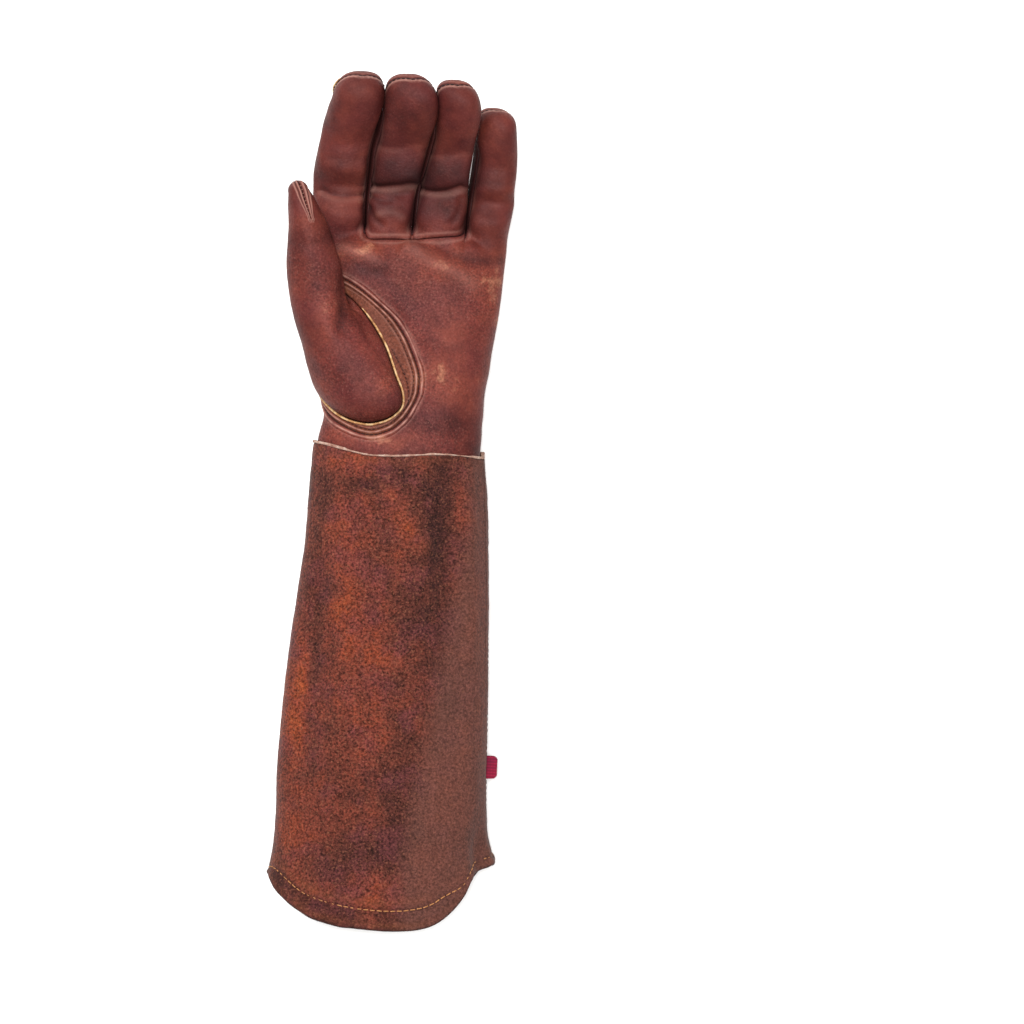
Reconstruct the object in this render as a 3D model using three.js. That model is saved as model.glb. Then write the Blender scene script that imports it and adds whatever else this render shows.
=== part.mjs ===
// A long leather gauntlet for the left hand, lying on its back with the palm up.
// Millimetres. X runs across the palm from the thumb to the little finger, Y from the cuff to the
// fingertips, Z up from the floor. The hand is one thin skin, cut into its sewn pieces along the
// seams; the suede cuff is a second, wider skin that overlaps the hand at the wrist.
import * as THREE from "three";

// Hand sizes
const PALM_LENGTH = 115.5; // wrist seam to the webs between the fingers
const PALM_WIDTH = 101; // across the finger bases
const PALM_DEPTH = 36; // back to palm at the finger bases
const FINGER_LENGTH = 88; // middle finger from web to tip, along its curl
const FINGER_DEPTH = 24; // back to pad of a finger
const FINGER_GAP = 0.5; // air between two neighbouring fingers where they touch
const FINGER_LEAN = 3.2; // the pads lean to the little-finger side, so that neighbours lap
const THUMB_WIDTH = 28.5; // thumb seen from the palm
const THUMB_DEPTH = 27; // thumb along the line of sight
const HAND_WALL = 1.3; // smooth leather
const SEAM_GAP = 0.5; // between two pieces that meet at a seam
const FORK_GAP = 1.1; // twice what a finger's side strip draws back from its seams
const FORK_WIDTH = 42; // degrees of a finger's side that its side strip covers, above and below

// Cuff sizes
const CUFF_LENGTH = 212; // wrist seam to hem at its shortest, by the little-finger side seam
const HEM_DIP = 39; // the hem reaches this much further down mid panel
const HEM_OPENING_WIDTH = 119.5; // outside, across the opening
const HEM_OPENING_DEPTH = 70; // outside, floor to top
const CUFF_WALL = 1.8; // suede
const HEM_FOLD = 11; // width of the turned-in hem
const CUFF_OVERLAP = 14; // of the hand inside the cuff
const CUFF_CLEARANCE = 0.8; // between the hand and the cuff round it

// Trim sizes
const PIPING = 1.9; // diameter of the welt in the seams
const PIPING_CLEARANCE = 0.35;
const CUT_EDGE = 1.3; // height of the pale cut edge on the cuff's top
const TAB_LENGTH = 12.5; // along the side seam
const TAB_REACH = 7.5; // out of the side seam
const RIBBON = 0.7; // thickness of the tab's ribbon
const TAB_PLACE = 0.766; // share of the cuff's length, from the wrist

// How deep the leather flattens where it lies on the floor
const FLAT = 2;

// Section angles, in degrees: 0 is the little-finger side, 90 the palm, 180 the thumb side.
const PIPED_SEAM = 215; // seam on the back, along the thumb side
const PIPED_FINGER = 228; // the same seam on the index finger
const SIDE_SEAM = -8; // seam along the little-finger side

// Hand outline: along is a share of PALM_LENGTH from the wrist seam, thumb and little are shares of
// PALM_WIDTH, palm and back are heights as shares of PALM_DEPTH.
const HAND = [
  { along: -0.14, thumb: -0.405, little: 0.415, palm: 1.33, back: 0.06 },
  { along: 0.0, thumb: -0.425, little: 0.428, palm: 1.36, back: 0.09 },
  { along: 0.06, thumb: -0.42, little: 0.432, palm: 1.35, back: 0.09 },
  { along: 0.15, thumb: -0.4, little: 0.434, palm: 1.32, back: 0.07 },
  { along: 0.26, thumb: -0.425, little: 0.44, palm: 1.28, back: 0.03 },
  { along: 0.42, thumb: -0.437, little: 0.46, palm: 1.2, back: -0.04 },
  { along: 0.56, thumb: -0.434, little: 0.479, palm: 1.12, back: -0.07 },
  { along: 0.7, thumb: -0.438, little: 0.498, palm: 1.06, back: -0.08 },
  { along: 0.86, thumb: -0.468, little: 0.511, palm: 1.0, back: -0.06 },
  { along: 1.0, thumb: -0.48, little: 0.522, palm: 0.95, back: -0.02 },
  { along: 1.2, thumb: -0.49, little: 0.53, palm: 0.9, back: 0.02 },
];

// Pads and hollows: place across (share of PALM_WIDTH) and along (share of PALM_LENGTH), rise in
// shares of PALM_DEPTH, spread in shares of PALM_WIDTH. Face 1 is the palm and -1 the back.
const RELIEF = [
  { name: "hollow", across: 0.1, along: 0.6, rise: -0.11, wide: 0.2, long: 0.24, face: 1 },
  { name: "heel_pad", across: 0.33, along: 0.34, rise: 0.06, wide: 0.16, long: 0.3, face: 1 },
  { name: "index_pad", across: -0.33, along: 0.84, rise: 0.05, wide: 0.12, long: 0.1, face: 1 },
  { name: "ring_pad", across: 0.22, along: 0.86, rise: 0.05, wide: 0.2, long: 0.09, face: 1 },
  { name: "finger_seam", across: 0.035, along: 0.972, rise: -0.05, wide: 0.26, long: 0.03, face: 1 },
  { name: "fold_a", across: -0.22, along: 0.3, rise: -0.05, wide: 0.045, long: 0.26, face: -1 },
  { name: "fold_b", across: -0.02, along: 0.34, rise: -0.06, wide: 0.045, long: 0.3, face: -1 },
  { name: "fold_c", across: 0.16, along: 0.36, rise: -0.06, wide: 0.045, long: 0.3, face: -1 },
  { name: "fold_d", across: 0.33, along: 0.33, rise: -0.05, wide: 0.045, long: 0.28, face: -1 },
];

// Lines between the fingers: reach is a share of FINGER_LENGTH from the web. The lines are shares
// of PALM_WIDTH, from the index finger's free side to the little finger's, and the gaps open beyond
// FINGER_GAP by shares of it too.
const FINGER_LINES = [
  { reach: 0.0, l0: -0.478, l1: -0.23, l2: 0.02, l3: 0.3, l4: 0.522, g1: 0, g2: 0, g3: 0 },
  { reach: 0.14, l0: -0.508, l1: -0.233, l2: 0.019, l3: 0.299, l4: 0.538, g1: 0, g2: 0, g3: 0 },
  { reach: 0.28, l0: -0.516, l1: -0.23, l2: 0.026, l3: 0.304, l4: 0.543, g1: 0, g2: 0, g3: 0.006 },
  { reach: 0.4, l0: -0.514, l1: -0.222, l2: 0.048, l3: 0.311, l4: 0.549, g1: 0, g2: 0, g3: 0.014 },
  { reach: 0.53, l0: -0.494, l1: -0.212, l2: 0.074, l3: 0.321, l4: 0.549, g1: 0.003, g2: 0, g3: 0.012 },
  { reach: 0.67, l0: -0.473, l1: -0.186, l2: 0.099, l3: 0.327, l4: 0.54, g1: 0.014, g2: 0, g3: 0.004 },
  { reach: 0.82, l0: -0.44, l1: -0.163, l2: 0.121, l3: 0.341, l4: 0.526, g1: 0.016, g2: 0, g3: 0.002 },
  { reach: 1.0, l0: -0.4, l1: -0.15, l2: 0.118, l3: 0.335, l4: 0.5, g1: 0.01, g2: 0, g3: 0 },
];

// Fingers: length is a share of FINGER_LENGTH and lean of FINGER_LEAN; the curls are the slopes of
// the three phalanges in degrees towards the palm.
const FINGERS = [
  { name: "index", length: 1.02, lean: 0.1, base_curl: 7, middle_curl: 24, tip_curl: 35 },
  { name: "middle", length: 1.03, lean: 1, base_curl: 9, middle_curl: 27, tip_curl: 37 },
  { name: "ring", length: 1.0, lean: 1, base_curl: 9, middle_curl: 27, tip_curl: 36 },
  { name: "little", length: 0.8, lean: 1, base_curl: 6, middle_curl: 17, tip_curl: 24 },
];
const FIRST_JOINT = 0.28; // share of a finger's length, from the web
const SECOND_JOINT = 0.58;
const FORK_NARROWS = 0.62; // where a finger's side strip begins to narrow
const FORK_END = 0.87; // and where it ends in a point

// Finger depth along the finger, and how far its pad swells (or, below 0, creases) there, both as
// shares of FINGER_DEPTH.
const FINGER_PROFILE = [
  { reach: 0.0, depth: 1.04, swell: 0.03 },
  { reach: 0.14, depth: 1.04, swell: 0.07 },
  { reach: 0.28, depth: 1.0, swell: -0.09 },
  { reach: 0.42, depth: 0.98, swell: 0.04 },
  { reach: 0.58, depth: 0.95, swell: -0.05 },
  { reach: 0.78, depth: 0.95, swell: 0.03 },
  { reach: 1.0, depth: 0.88, swell: 0.0 },
];

// Thumb from its root to its tip: along is a share of PALM_LENGTH, across of PALM_WIDTH, height of
// PALM_DEPTH, width of THUMB_WIDTH and depth of THUMB_DEPTH.
const THUMB = [
  { along: 0.46, across: -0.36, height: 1.1, width: 1.0, depth: 0.95 },
  { along: 0.6, across: -0.43, height: 1.15, width: 0.99, depth: 0.97 },
  { along: 0.72, across: -0.462, height: 1.2, width: 1.03, depth: 1.0 },
  { along: 0.84, across: -0.486, height: 1.26, width: 0.98, depth: 0.98 },
  { along: 0.96, across: -0.514, height: 1.32, width: 0.78, depth: 0.92 },
  { along: 1.05, across: -0.546, height: 1.36, width: 0.57, depth: 0.82 },
  { along: 1.12, across: -0.57, height: 1.38, width: 0.43, depth: 0.7 },
  { along: 1.16, across: -0.582, height: 1.39, width: 0.35, depth: 0.6 },
];
const THUMB_TUBE_START = 0.25; // share of the thumb's rows where its free tube begins

// Seam round the thumb's root and the outer edge of the crescent sewn round it. Around is the angle
// about the thumb, section an angle of the hand's section, along a share of PALM_LENGTH, and lift
// how steeply the thumb's leather leaves the hand.
const THUMB_SEAM = [
  { around: 5, section: 90, along: 0.351, edge_section: 78.5, edge_along: 0.377, lift: 0.8 },
  { around: 25, section: 88, along: 0.283, edge_section: 74, edge_along: 0.287, lift: 0.85 },
  { around: 50, section: 93.6, along: 0.181, edge_section: 81, edge_along: 0.149, lift: 0.85 },
  { around: 80, section: 113.5, along: 0.117, edge_section: 111, edge_along: 0.058, lift: 0.75 },
  { around: 105, section: 134, along: 0.129, edge_section: 138, edge_along: 0.09, lift: 0.6 },
  { around: 130, section: 156, along: 0.207, edge_section: 163, edge_along: 0.165, lift: 0.4 },
  { around: 152, section: 178, along: 0.287, edge_section: 184, edge_along: 0.255, lift: 0.32 },
  { around: 180, section: 192, along: 0.415, edge_section: 199, edge_along: 0.4, lift: 0.35 },
  { around: 205, section: 197, along: 0.54, edge_section: 204, edge_along: 0.545, lift: 0.4 },
  { around: 235, section: 190, along: 0.66, edge_section: 196, edge_along: 0.7, lift: 0.45 },
  { around: 262, section: 170, along: 0.735, edge_section: 171, edge_along: 0.785, lift: 0.5 },
  { around: 290, section: 143, along: 0.735, edge_section: 136, edge_along: 0.78, lift: 0.6 },
  { around: 315, section: 121, along: 0.655, edge_section: 107, edge_along: 0.665, lift: 0.7 },
  { around: 345, section: 104, along: 0.482, edge_section: 91.7, edge_along: 0.532, lift: 0.75 },
];
const THUMB_PIPING_FROM = -48; // degrees about the thumb
const THUMB_PIPING_TO = 195;

// Cuff outline: along is a share of the length, and the rest say how far each side has gone from
// the wrist's section (0) to the hem opening's (1).
const CUFF = [
  { along: 0.0, thumb: 0.0, little: 0.0, palm: 0.0, back: 0.0 },
  { along: 0.08, thumb: 0.05, little: 0.13, palm: 0.12, back: 0.5 },
  { along: 0.2, thumb: 0.09, little: 0.24, palm: 0.25, back: 0.9 },
  { along: 0.32, thumb: 0.28, little: 0.34, palm: 0.38, back: 1.0 },
  { along: 0.46, thumb: 0.5, little: 0.46, palm: 0.52, back: 1.0 },
  { along: 0.6, thumb: 0.66, little: 0.54, palm: 0.66, back: 1.0 },
  { along: 0.74, thumb: 0.77, little: 0.6, palm: 0.8, back: 1.0 },
  { along: 0.86, thumb: 0.76, little: 0.66, palm: 0.9, back: 1.0 },
  { along: 0.93, thumb: 0.8, little: 0.74, palm: 0.95, back: 1.0 },
  { along: 1.0, thumb: 1.0, little: 1.08, palm: 1.0, back: 1.0 },
];

// Hem line: reach is the share of HEM_DIP at an angle round the opening.
const HEM = [
  { around: 0, reach: 0.0 },
  { around: 14, reach: 0.02 },
  { around: 27, reach: 0.13 },
  { around: 38, reach: 0.28 },
  { around: 44, reach: 0.54 },
  { around: 55, reach: 0.81 },
  { around: 66, reach: 0.94 },
  { around: 84, reach: 1.0 },
  { around: 108, reach: 0.96 },
  { around: 130, reach: 0.83 },
  { around: 146, reach: 0.64 },
  { around: 164, reach: 0.42 },
  { around: 180, reach: 0.37 },
  { around: 196, reach: 0.43 },
  { around: 220, reach: 0.7 },
  { around: 250, reach: 0.9 },
  { around: 284, reach: 0.92 },
  { around: 308, reach: 0.72 },
  { around: 328, reach: 0.3 },
  { around: 346, reach: 0.04 },
];
const HEM_SHIFT = 0.006; // the opening lies this share of its width towards the little finger

// Soft folds of the cuff: around is a section angle, along a share of the cuff, rise a share of
// HEM_OPENING_DEPTH, turn the spread in degrees and long the spread in shares of the cuff.
const CUFF_FOLDS = [
  { name: "hem_wave", around: 24, along: 1.0, rise: -0.085, turn: 11, long: 0.1 },
  { name: "long_fold", around: 48, along: 0.35, rise: -0.03, turn: 14, long: 0.3 },
  { name: "crest", around: 78, along: 0.3, rise: 0.02, turn: 16, long: 0.26 },
  { name: "thumb_fold", around: 138, along: 0.55, rise: -0.028, turn: 12, long: 0.34 },
  { name: "elbow_dent", around: 108, along: 0.8, rise: -0.022, turn: 22, long: 0.12 },
  { name: "back_fold", around: 318, along: 0.6, rise: -0.03, turn: 12, long: 0.3 },
];

// Mesh steps
const STRIP_COLUMNS = 5; // across one finger, on the palm or the back
const WRAP_COLUMNS = 8; // across the index finger's pad and its free side
const FORK_COLUMNS = 3;
const HAND_ROWS = 12; // in the cuff and up to the rows beside the webs
const WEB_ROWS = [-20, -12, -6.5]; // distances from the webs
const FINGER_ROWS = [0.045, 0.12, 0.2, 0.28, 0.36, 0.47, 0.58, 0.69, 0.78, FORK_END, 0.93, 0.975, 1];
const THUMB_SIDES = 18;
const THUMB_ROOT_ROWS = 5;
const THUMB_TUBE_ROWS = 6;
const CUFF_FRONT_ANGLES = [5, 17, 29, 38, 45, 54, 65, 77, 90, 103, 116, 129, 142, 155, 168, 180, 192, 204];
const CUFF_BACK_ANGLES = [227, 239, 251, 262, 278, 290, 302, 313, 322, 331, 340];
const CUFF_ROWS = [0, 0.08, 0.18, 0.28, 0.38, 0.48, 0.58, 0.68, 0.78, 0.87];
const PIPING_SIDES = 6;

const LEATHER = { color: 0x7a3a30, roughness: 0.5, metalness: 0 };
const SUEDE = { color: 0x7d3a1e, roughness: 0.95, metalness: 0 };
const GOLD = { color: 0xc98a3a, roughness: 0.6, metalness: 0 };
const PALE = { color: 0xdcae92, roughness: 0.9, metalness: 0 };
const RED = { color: 0xa0163c, roughness: 0.8, metalness: 0 };

const radians = THREE.MathUtils.degToRad;
const mix = THREE.MathUtils.lerp;
const ease = (x) => THREE.MathUtils.smoothstep(x, 0, 1);
const bell = (x) => Math.exp(-x * x);

// A smooth curve through one column of a table, at a value of its key column.
function read(table, key, column, at) {
  const last = table.length - 1;
  if (at <= table[0][key]) return table[0][column];
  if (at >= table[last][key]) return table[last][column];
  let i = 0;
  while (table[i + 1][key] < at) i += 1;
  const slope = (j) => {
    const a = table[Math.max(j - 1, 0)];
    const b = table[Math.min(j + 1, last)];
    return (b[column] - a[column]) / (b[key] - a[key]);
  };
  const step = table[i + 1][key] - table[i][key];
  const u = (at - table[i][key]) / step;
  const h = u * u * (3 - 2 * u);
  const rise = table[i + 1][column] - table[i][column];
  const bend = u * (1 - u) * step * ((1 - u) * slope(i) - u * slope(i + 1));
  return table[i][column] + h * rise + bend;
}

// The same for a table that goes round once in 360 degrees.
function readRound(table, key, column, at) {
  const turn = 360;
  const a = THREE.MathUtils.euclideanModulo(at, turn);
  const before = table.slice(-2).map((r) => ({ ...r, [key]: r[key] - turn }));
  const after = table.slice(0, 2).map((r) => ({ ...r, [key]: r[key] + turn }));
  return read([...before, ...table, ...after], key, column, a);
}

// A rounded oval of unit size at an angle in degrees. The palm side is rounder than the back.
function oval(angle) {
  const c = Math.cos(radians(angle));
  const s = Math.sin(radians(angle));
  const power = 2.45 - 0.3 * s;
  const size = (Math.abs(c) ** power + Math.abs(s) ** power) ** (-1 / power);
  return { x: c * size, z: s * size };
}

// The oval's angle on the palm (1) or the back (-1) at a share of its width.
function angleAcross(share, face) {
  let low = 0;
  let high = 180;
  for (let i = 0; i < 40; i += 1) {
    const middle = (low + high) / 2;
    if (oval(face * middle).x > share * 2 - 1) low = middle;
    else high = middle;
  }
  return face > 0 ? low : 360 - low;
}

// Leather that would reach below the floor lies flat on it.
function onFloor(z) {
  if (z <= -FLAT) return 0;
  return z < FLAT ? (z + FLAT) ** 2 / (4 * FLAT) : z;
}

// Outside of the hand between wrist and webs, before the fingers shape it.
function handSection(y) {
  const along = y / PALM_LENGTH;
  const side = (column) => read(HAND, "along", column, along);
  const left = side("thumb") * PALM_WIDTH;
  const right = side("little") * PALM_WIDTH;
  const top = side("palm") * PALM_DEPTH;
  const bottom = side("back") * PALM_DEPTH;
  return { x: (left + right) / 2, z: (top + bottom) / 2, a: (right - left) / 2, b: (top - bottom) / 2 };
}

function handSkin(y, angle) {
  const section = handSection(y);
  const along = y / PALM_LENGTH;
  const o = oval(angle);
  const x = section.x + section.a * o.x;
  let z = section.z + section.b * o.z;
  const beyondCuff = ease(along * 6);
  for (const r of RELIEF) {
    const wide = (x / PALM_WIDTH - r.across) / r.wide;
    const long = ((along - r.along) * PALM_LENGTH) / (r.long * PALM_WIDTH);
    const share = bell(wide) * bell(long) * ease(r.face * o.z * 2) * beyondCuff;
    z += r.rise * r.face * PALM_DEPTH * share;
  }
  return new THREE.Vector3(x, y, z);
}

// Angles of the hand's section at which each finger's strip begins and ends.
const webShares = ["l1", "l2", "l3"].map((line) => {
  const row = FINGER_LINES[0];
  return (row[line] - row.l0) / (row.l4 - row.l0);
});
const PALM_ANGLES = [PIPED_SEAM, ...webShares.map((s) => angleAcross(s, 1)), SIDE_SEAM];
const BACK_ANGLES = [PIPED_SEAM, ...webShares.map((s) => angleAcross(s, -1)), 360 + SIDE_SEAM];

const TIP_ROUND = 2.5; // how square the fingertips are; 2 is a plain ellipse
const TIP_REACH = 0.92; // length of the rounded tip in shares of half the finger's width
const JOINT_SOFTNESS = 9; // half the length over which a knuckle bends

// A finger's centre line by its length, with its slope, half width and half depth.
function makeFinger(row, index) {
  const length = row.length * FINGER_LENGTH;
  const line = (n, reach) => read(FINGER_LINES, "reach", "l" + n, reach) * PALM_WIDTH;
  const slope = (s) => {
    const first = ease((s - FIRST_JOINT * length) / (2 * JOINT_SOFTNESS) + 0.5);
    const second = ease((s - SECOND_JOINT * length) / (2 * JOINT_SOFTNESS) + 0.5);
    const toMiddle = (row.middle_curl - row.base_curl) * first;
    return radians(row.base_curl + toMiddle + (row.tip_curl - row.middle_curl) * second);
  };
  const start = handSection(PALM_LENGTH);
  const step = 1;
  const path = [{ y: PALM_LENGTH, z: start.z }];
  for (let s = 0; s < length; s += step) {
    const last = path[path.length - 1];
    const at = slope(s + step / 2);
    path.push({ y: last.y + step * Math.cos(at), z: last.z + step * Math.sin(at) });
  }
  const gap = (n, reach) => {
    const open = n > 0 && n < 4 ? read(FINGER_LINES, "reach", "g" + n, reach) * PALM_WIDTH : 0;
    return (open + FINGER_GAP) / 2;
  };
  const sides = (s) => {
    const reach = Math.max(s, 0) / FINGER_LENGTH;
    return [line(index, reach) + gap(index, reach), line(index + 1, reach) - gap(index + 1, reach)];
  };
  const [tipLeft, tipRight] = sides(length);
  const cap = (TIP_REACH * (tipRight - tipLeft)) / 2;
  const at = (s) => {
    const own = Math.max(s, 0) / length;
    const i = THREE.MathUtils.clamp(Math.floor(s / step), 0, path.length - 2);
    const u = s / step - i;
    const end = Math.max(0, (s - length + cap) / cap);
    const size = Math.max(0, 1 - end ** TIP_ROUND) ** (1 / TIP_ROUND);
    const [left, right] = sides(s);
    return {
      x: (left + right) / 2,
      lean: FINGER_LEAN * row.lean * size * ease(own / FIRST_JOINT),
      y: mix(path[i].y, path[i + 1].y, u),
      z: mix(path[i].z, path[i + 1].z, u),
      slope: slope(s),
      a: ((right - left) * size) / 2,
      b: (read(FINGER_PROFILE, "reach", "depth", own) * FINGER_DEPTH * size) / 2,
      swell: read(FINGER_PROFILE, "reach", "swell", own) * FINGER_DEPTH * size,
      taper: ease((s / length - FORK_NARROWS) / (FORK_END - FORK_NARROWS)),
    };
  };
  return { ...row, at, length };
}
const fingers = FINGERS.map(makeFinger);

// Outside of a finger at a distance from the web and an angle round it.
function fingerSkin(finger, s, angle) {
  const f = finger.at(s);
  const o = oval(angle);
  const up = f.b * o.z + f.swell * ease(o.z * 2 - 0.4);
  return new THREE.Vector3(
    f.x + f.a * o.x + f.lean * o.z,
    f.y - up * Math.sin(f.slope),
    f.z + up * Math.cos(f.slope),
  );
}

// Angles where a finger's palm or back strip starts and ends; the side strips taper to the tip.
function stripAngles(index, face, s) {
  const fork = FORK_WIDTH * (1 - fingers[index].at(s).taper);
  const left = index === 0 ? PIPED_FINGER : 180 - face * fork;
  const right = index === 3 ? SIDE_SEAM : face * fork;
  return face > 0 ? [left, right] : [left, 360 + right];
}

const BLEND = 20; // length over which the hand becomes a finger, mid finger
const WEB_BLEND = 9; // the same beside a web
const FORK_BLEND = 4; // length over which a side strip rounds out
const WEB_DEPTH = 0.17; // how far the valleys between fingers sink at the webs, share of the depth
const VALLEY = 16; // length over which such a valley fades, towards the tips and on the back
const PALM_VALLEY = 5; // the same on the palm below the webs

// Skin of one finger's strip on the palm (1) or the back (-1): v is the distance beyond the web,
// negative on the hand, and t goes from 0 on the thumb side to 1 on the little-finger side.
function stripSkin(index, face, v, t) {
  const limits = face > 0 ? PALM_ANGLES : BACK_ANGLES;
  const hand = handSkin(PALM_LENGTH + v, mix(limits[index], limits[index + 1], t));
  const fromLeft = index === 0 ? 1 : t;
  const fromRight = index === 3 ? 1 : 1 - t;
  const free = Math.sin((Math.PI / 2) * Math.min(1, 2 * Math.min(fromLeft, fromRight)));
  const fade = face > 0 && v < 0 ? PALM_VALLEY : VALLEY;
  const valley = WEB_DEPTH * PALM_DEPTH * bell(v / fade) * (1 - free) ** 2;
  hand.z -= face * valley;
  const weight = ease((v + BLEND * free) / (WEB_BLEND + BLEND * free));
  const [left, right] = stripAngles(index, face, v);
  const skin = fingerSkin(fingers[index], v, mix(left, right, t)).lerp(hand, 1 - weight);
  skin.z = onFloor(skin.z);
  return skin;
}

// Skin of the side strip of a finger: q goes from 0 at the palm to 1 at the back.
function forkSkin(index, side, v, q) {
  const t = side > 0 ? 1 : 0;
  const palm = stripSkin(index, 1, v, t);
  const back = stripSkin(index, -1, v, t);
  const wall = palm.clone().lerp(back, q);
  const fork = FORK_WIDTH * (1 - fingers[index].at(v).taper);
  const turn = mix(fork, -fork, q);
  const round = fingerSkin(fingers[index], v, side > 0 ? turn : 180 - turn);
  return q > 0 && q < 1 ? wall.lerp(round, ease(v / FORK_BLEND)) : wall;
}

// A mesh of points with marks, made from a grid of a function of row and column.
function gridMesh(rows, columns, point, flip, mark) {
  const points = [];
  const marks = [];
  const faces = [];
  rows.forEach((r) => {
    columns.forEach((c) => {
      points.push(point(r, c));
      marks.push(mark ? mark(r, c) : null);
    });
  });
  const n = columns.length;
  for (let i = 0; i + 1 < rows.length; i += 1) {
    for (let j = 0; j + 1 < n; j += 1) {
      const [a, b, c, d] = [i * n + j, i * n + j + 1, (i + 1) * n + j + 1, (i + 1) * n + j];
      const short = points[a].distanceTo(points[c]) <= points[b].distanceTo(points[d]);
      const cut = short ? [[a, b, c], [a, c, d]] : [[a, b, d], [b, c, d]];
      cut.forEach((f) => faces.push(flip ? [f[0], f[2], f[1]] : f));
    }
  }
  return { points, marks, faces };
}

const WELD = 2e-3;
const keyOf = (p) => [p.x, p.y, p.z].map((x) => Math.round(x / WELD)).join();

// Several meshes as one, with equal points joined and flat faces dropped.
function join(...meshes) {
  const made = { points: [], marks: [], faces: [] };
  const found = new Map();
  for (const mesh of meshes) {
    const index = mesh.points.map((p, i) => {
      const key = keyOf(p);
      if (!found.has(key)) {
        found.set(key, made.points.length);
        made.points.push(p.clone());
        made.marks.push(mesh.marks[i]);
      }
      return found.get(key);
    });
    for (const face of mesh.faces) {
      const f = face.map((i) => index[i]);
      if (new Set(f).size === 3) made.faces.push(f);
    }
  }
  return made;
}

// Outward normals by point, the same for all pieces of a skin, so that neighbours' rims agree.
function skinNormals(...meshes) {
  const sums = new Map();
  for (const mesh of meshes) {
    for (const face of mesh.faces) {
      const [a, b, c] = face.map((i) => mesh.points[i]);
      const normal = b.clone().sub(a).cross(c.clone().sub(a)).normalize();
      [[a, b, c], [b, c, a], [c, a, b]].forEach(([p, q, r]) => {
        const angle = q.clone().sub(p).angleTo(r.clone().sub(p));
        const key = keyOf(p);
        if (!sums.has(key)) sums.set(key, new THREE.Vector3());
        if (Number.isFinite(angle)) sums.get(key).addScaledVector(normal, angle);
      });
    }
  }
  return (p) => sums.get(keyOf(p)).clone().normalize();
}

// Boundary edges of a mesh, as pairs of point numbers in the order of their face.
function borders(mesh) {
  const count = new Map();
  for (const f of mesh.faces) {
    [[f[0], f[1]], [f[1], f[2]], [f[2], f[0]]].forEach(([i, j]) => count.set(i + "," + j, [i, j, f]));
  }
  return [...count.values()].filter(([i, j]) => !count.has(j + "," + i));
}

// A solid wall under a skin: its edges draw back by half a seam gap, and it is as thick inwards as
// wall says, a number or a function of the point's mark.
function thicken(mesh, normalAt, wall, gap = SEAM_GAP) {
  const inward = mesh.points.map(() => new THREE.Vector3());
  const rim = borders(mesh);
  for (const [i, j, face] of rim) {
    const [a, b, c] = face.map((n) => mesh.points[n]);
    const normal = b.clone().sub(a).cross(c.clone().sub(a)).normalize();
    const edge = mesh.points[j].clone().sub(mesh.points[i]).normalize();
    const towards = normal.clone().cross(edge);
    inward[i].add(towards);
    inward[j].add(towards);
  }
  const outer = mesh.points.map((p, i) => {
    const half = inward[i].length() / 2;
    if (!half) return p.clone();
    return p.clone().addScaledVector(inward[i].normalize(), gap / 2 / Math.max(half, 0.4));
  });
  const inner = mesh.points.map((p, i) => {
    const depth = typeof wall === "function" ? wall(mesh.marks[i]) : wall;
    return outer[i].clone().addScaledVector(normalAt(p), -depth);
  });
  const n = outer.length;
  const faces = [];
  for (const [a, b, c] of mesh.faces) faces.push([a, b, c], [a + n, c + n, b + n]);
  for (const [i, j] of rim) faces.push([j, i, i + n], [j, i + n, j + n]);
  return solid([...outer, ...inner], faces);
}

function solid(points, faces) {
  const geometry = new THREE.BufferGeometry();
  geometry.setAttribute("position", new THREE.Float32BufferAttribute(points.flatMap((p) => p.toArray()), 3));
  geometry.setIndex(faces.flat());
  geometry.computeVertexNormals();
  return geometry;
}

const glove = new THREE.Group();
function add(name, geometry, finish) {
  const mesh = new THREE.Mesh(geometry, new THREE.MeshStandardMaterial(finish));
  mesh.name = name;
  glove.add(mesh);
}

const steps = (n) => Array.from({ length: n + 1 }, (_, i) => i / n);

// Rows along a strip, as distances beyond the web: the hand's are the same for all fingers.
const GUNN_SEAM = -3.2; // the seam across the bases of the middle and ring fingers
const handRows = [
  ...steps(HAND_ROWS).map((u) => mix(-PALM_LENGTH - CUFF_OVERLAP, WEB_ROWS[0], u)),
  ...WEB_ROWS.slice(1),
  GUNN_SEAM,
];
const fingerRows = (index) => FINGER_ROWS.map((u) => u * fingers[index].length);

function stripMesh(index, face, rows) {
  const wrapped = index === 0 && face > 0;
  const columns = steps(wrapped ? WRAP_COLUMNS : STRIP_COLUMNS);
  const mark = (v, t) => {
    const limits = face > 0 ? PALM_ANGLES : BACK_ANGLES;
    return { y: PALM_LENGTH + v, angle: mix(limits[index], limits[index + 1], t) };
  };
  return gridMesh(rows, columns, (v, t) => stripSkin(index, face, v, t), face < 0, mark);
}

function forkMesh(index, side) {
  const rows = [0, ...fingerRows(index).filter((v) => fingers[index].at(v).taper < 1)];
  const end = fingerRows(index).find((v) => fingers[index].at(v).taper >= 1);
  return gridMesh([...rows, end], steps(FORK_COLUMNS), (v, q) => forkSkin(index, side, v, q), side < 0);
}

// Loops of the thumb: its seam, and the outer edge of the crescent.
function seamMark(around, edge) {
  const section = readRound(THUMB_SEAM, "around", edge ? "edge_section" : "section", around);
  const along = readRound(THUMB_SEAM, "around", edge ? "edge_along" : "along", around);
  return { angle: section, y: along * PALM_LENGTH };
}

const markPoint = (m) => handSkin(m.y, m.angle);
const EDGE_STEPS = 120;
const crescentEdge = Array.from({ length: EDGE_STEPS }, (_, i) => {
  const around = (360 * i) / EDGE_STEPS;
  const mark = seamMark(around, true);
  return { around, mark, point: markPoint(mark) };
});

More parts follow.
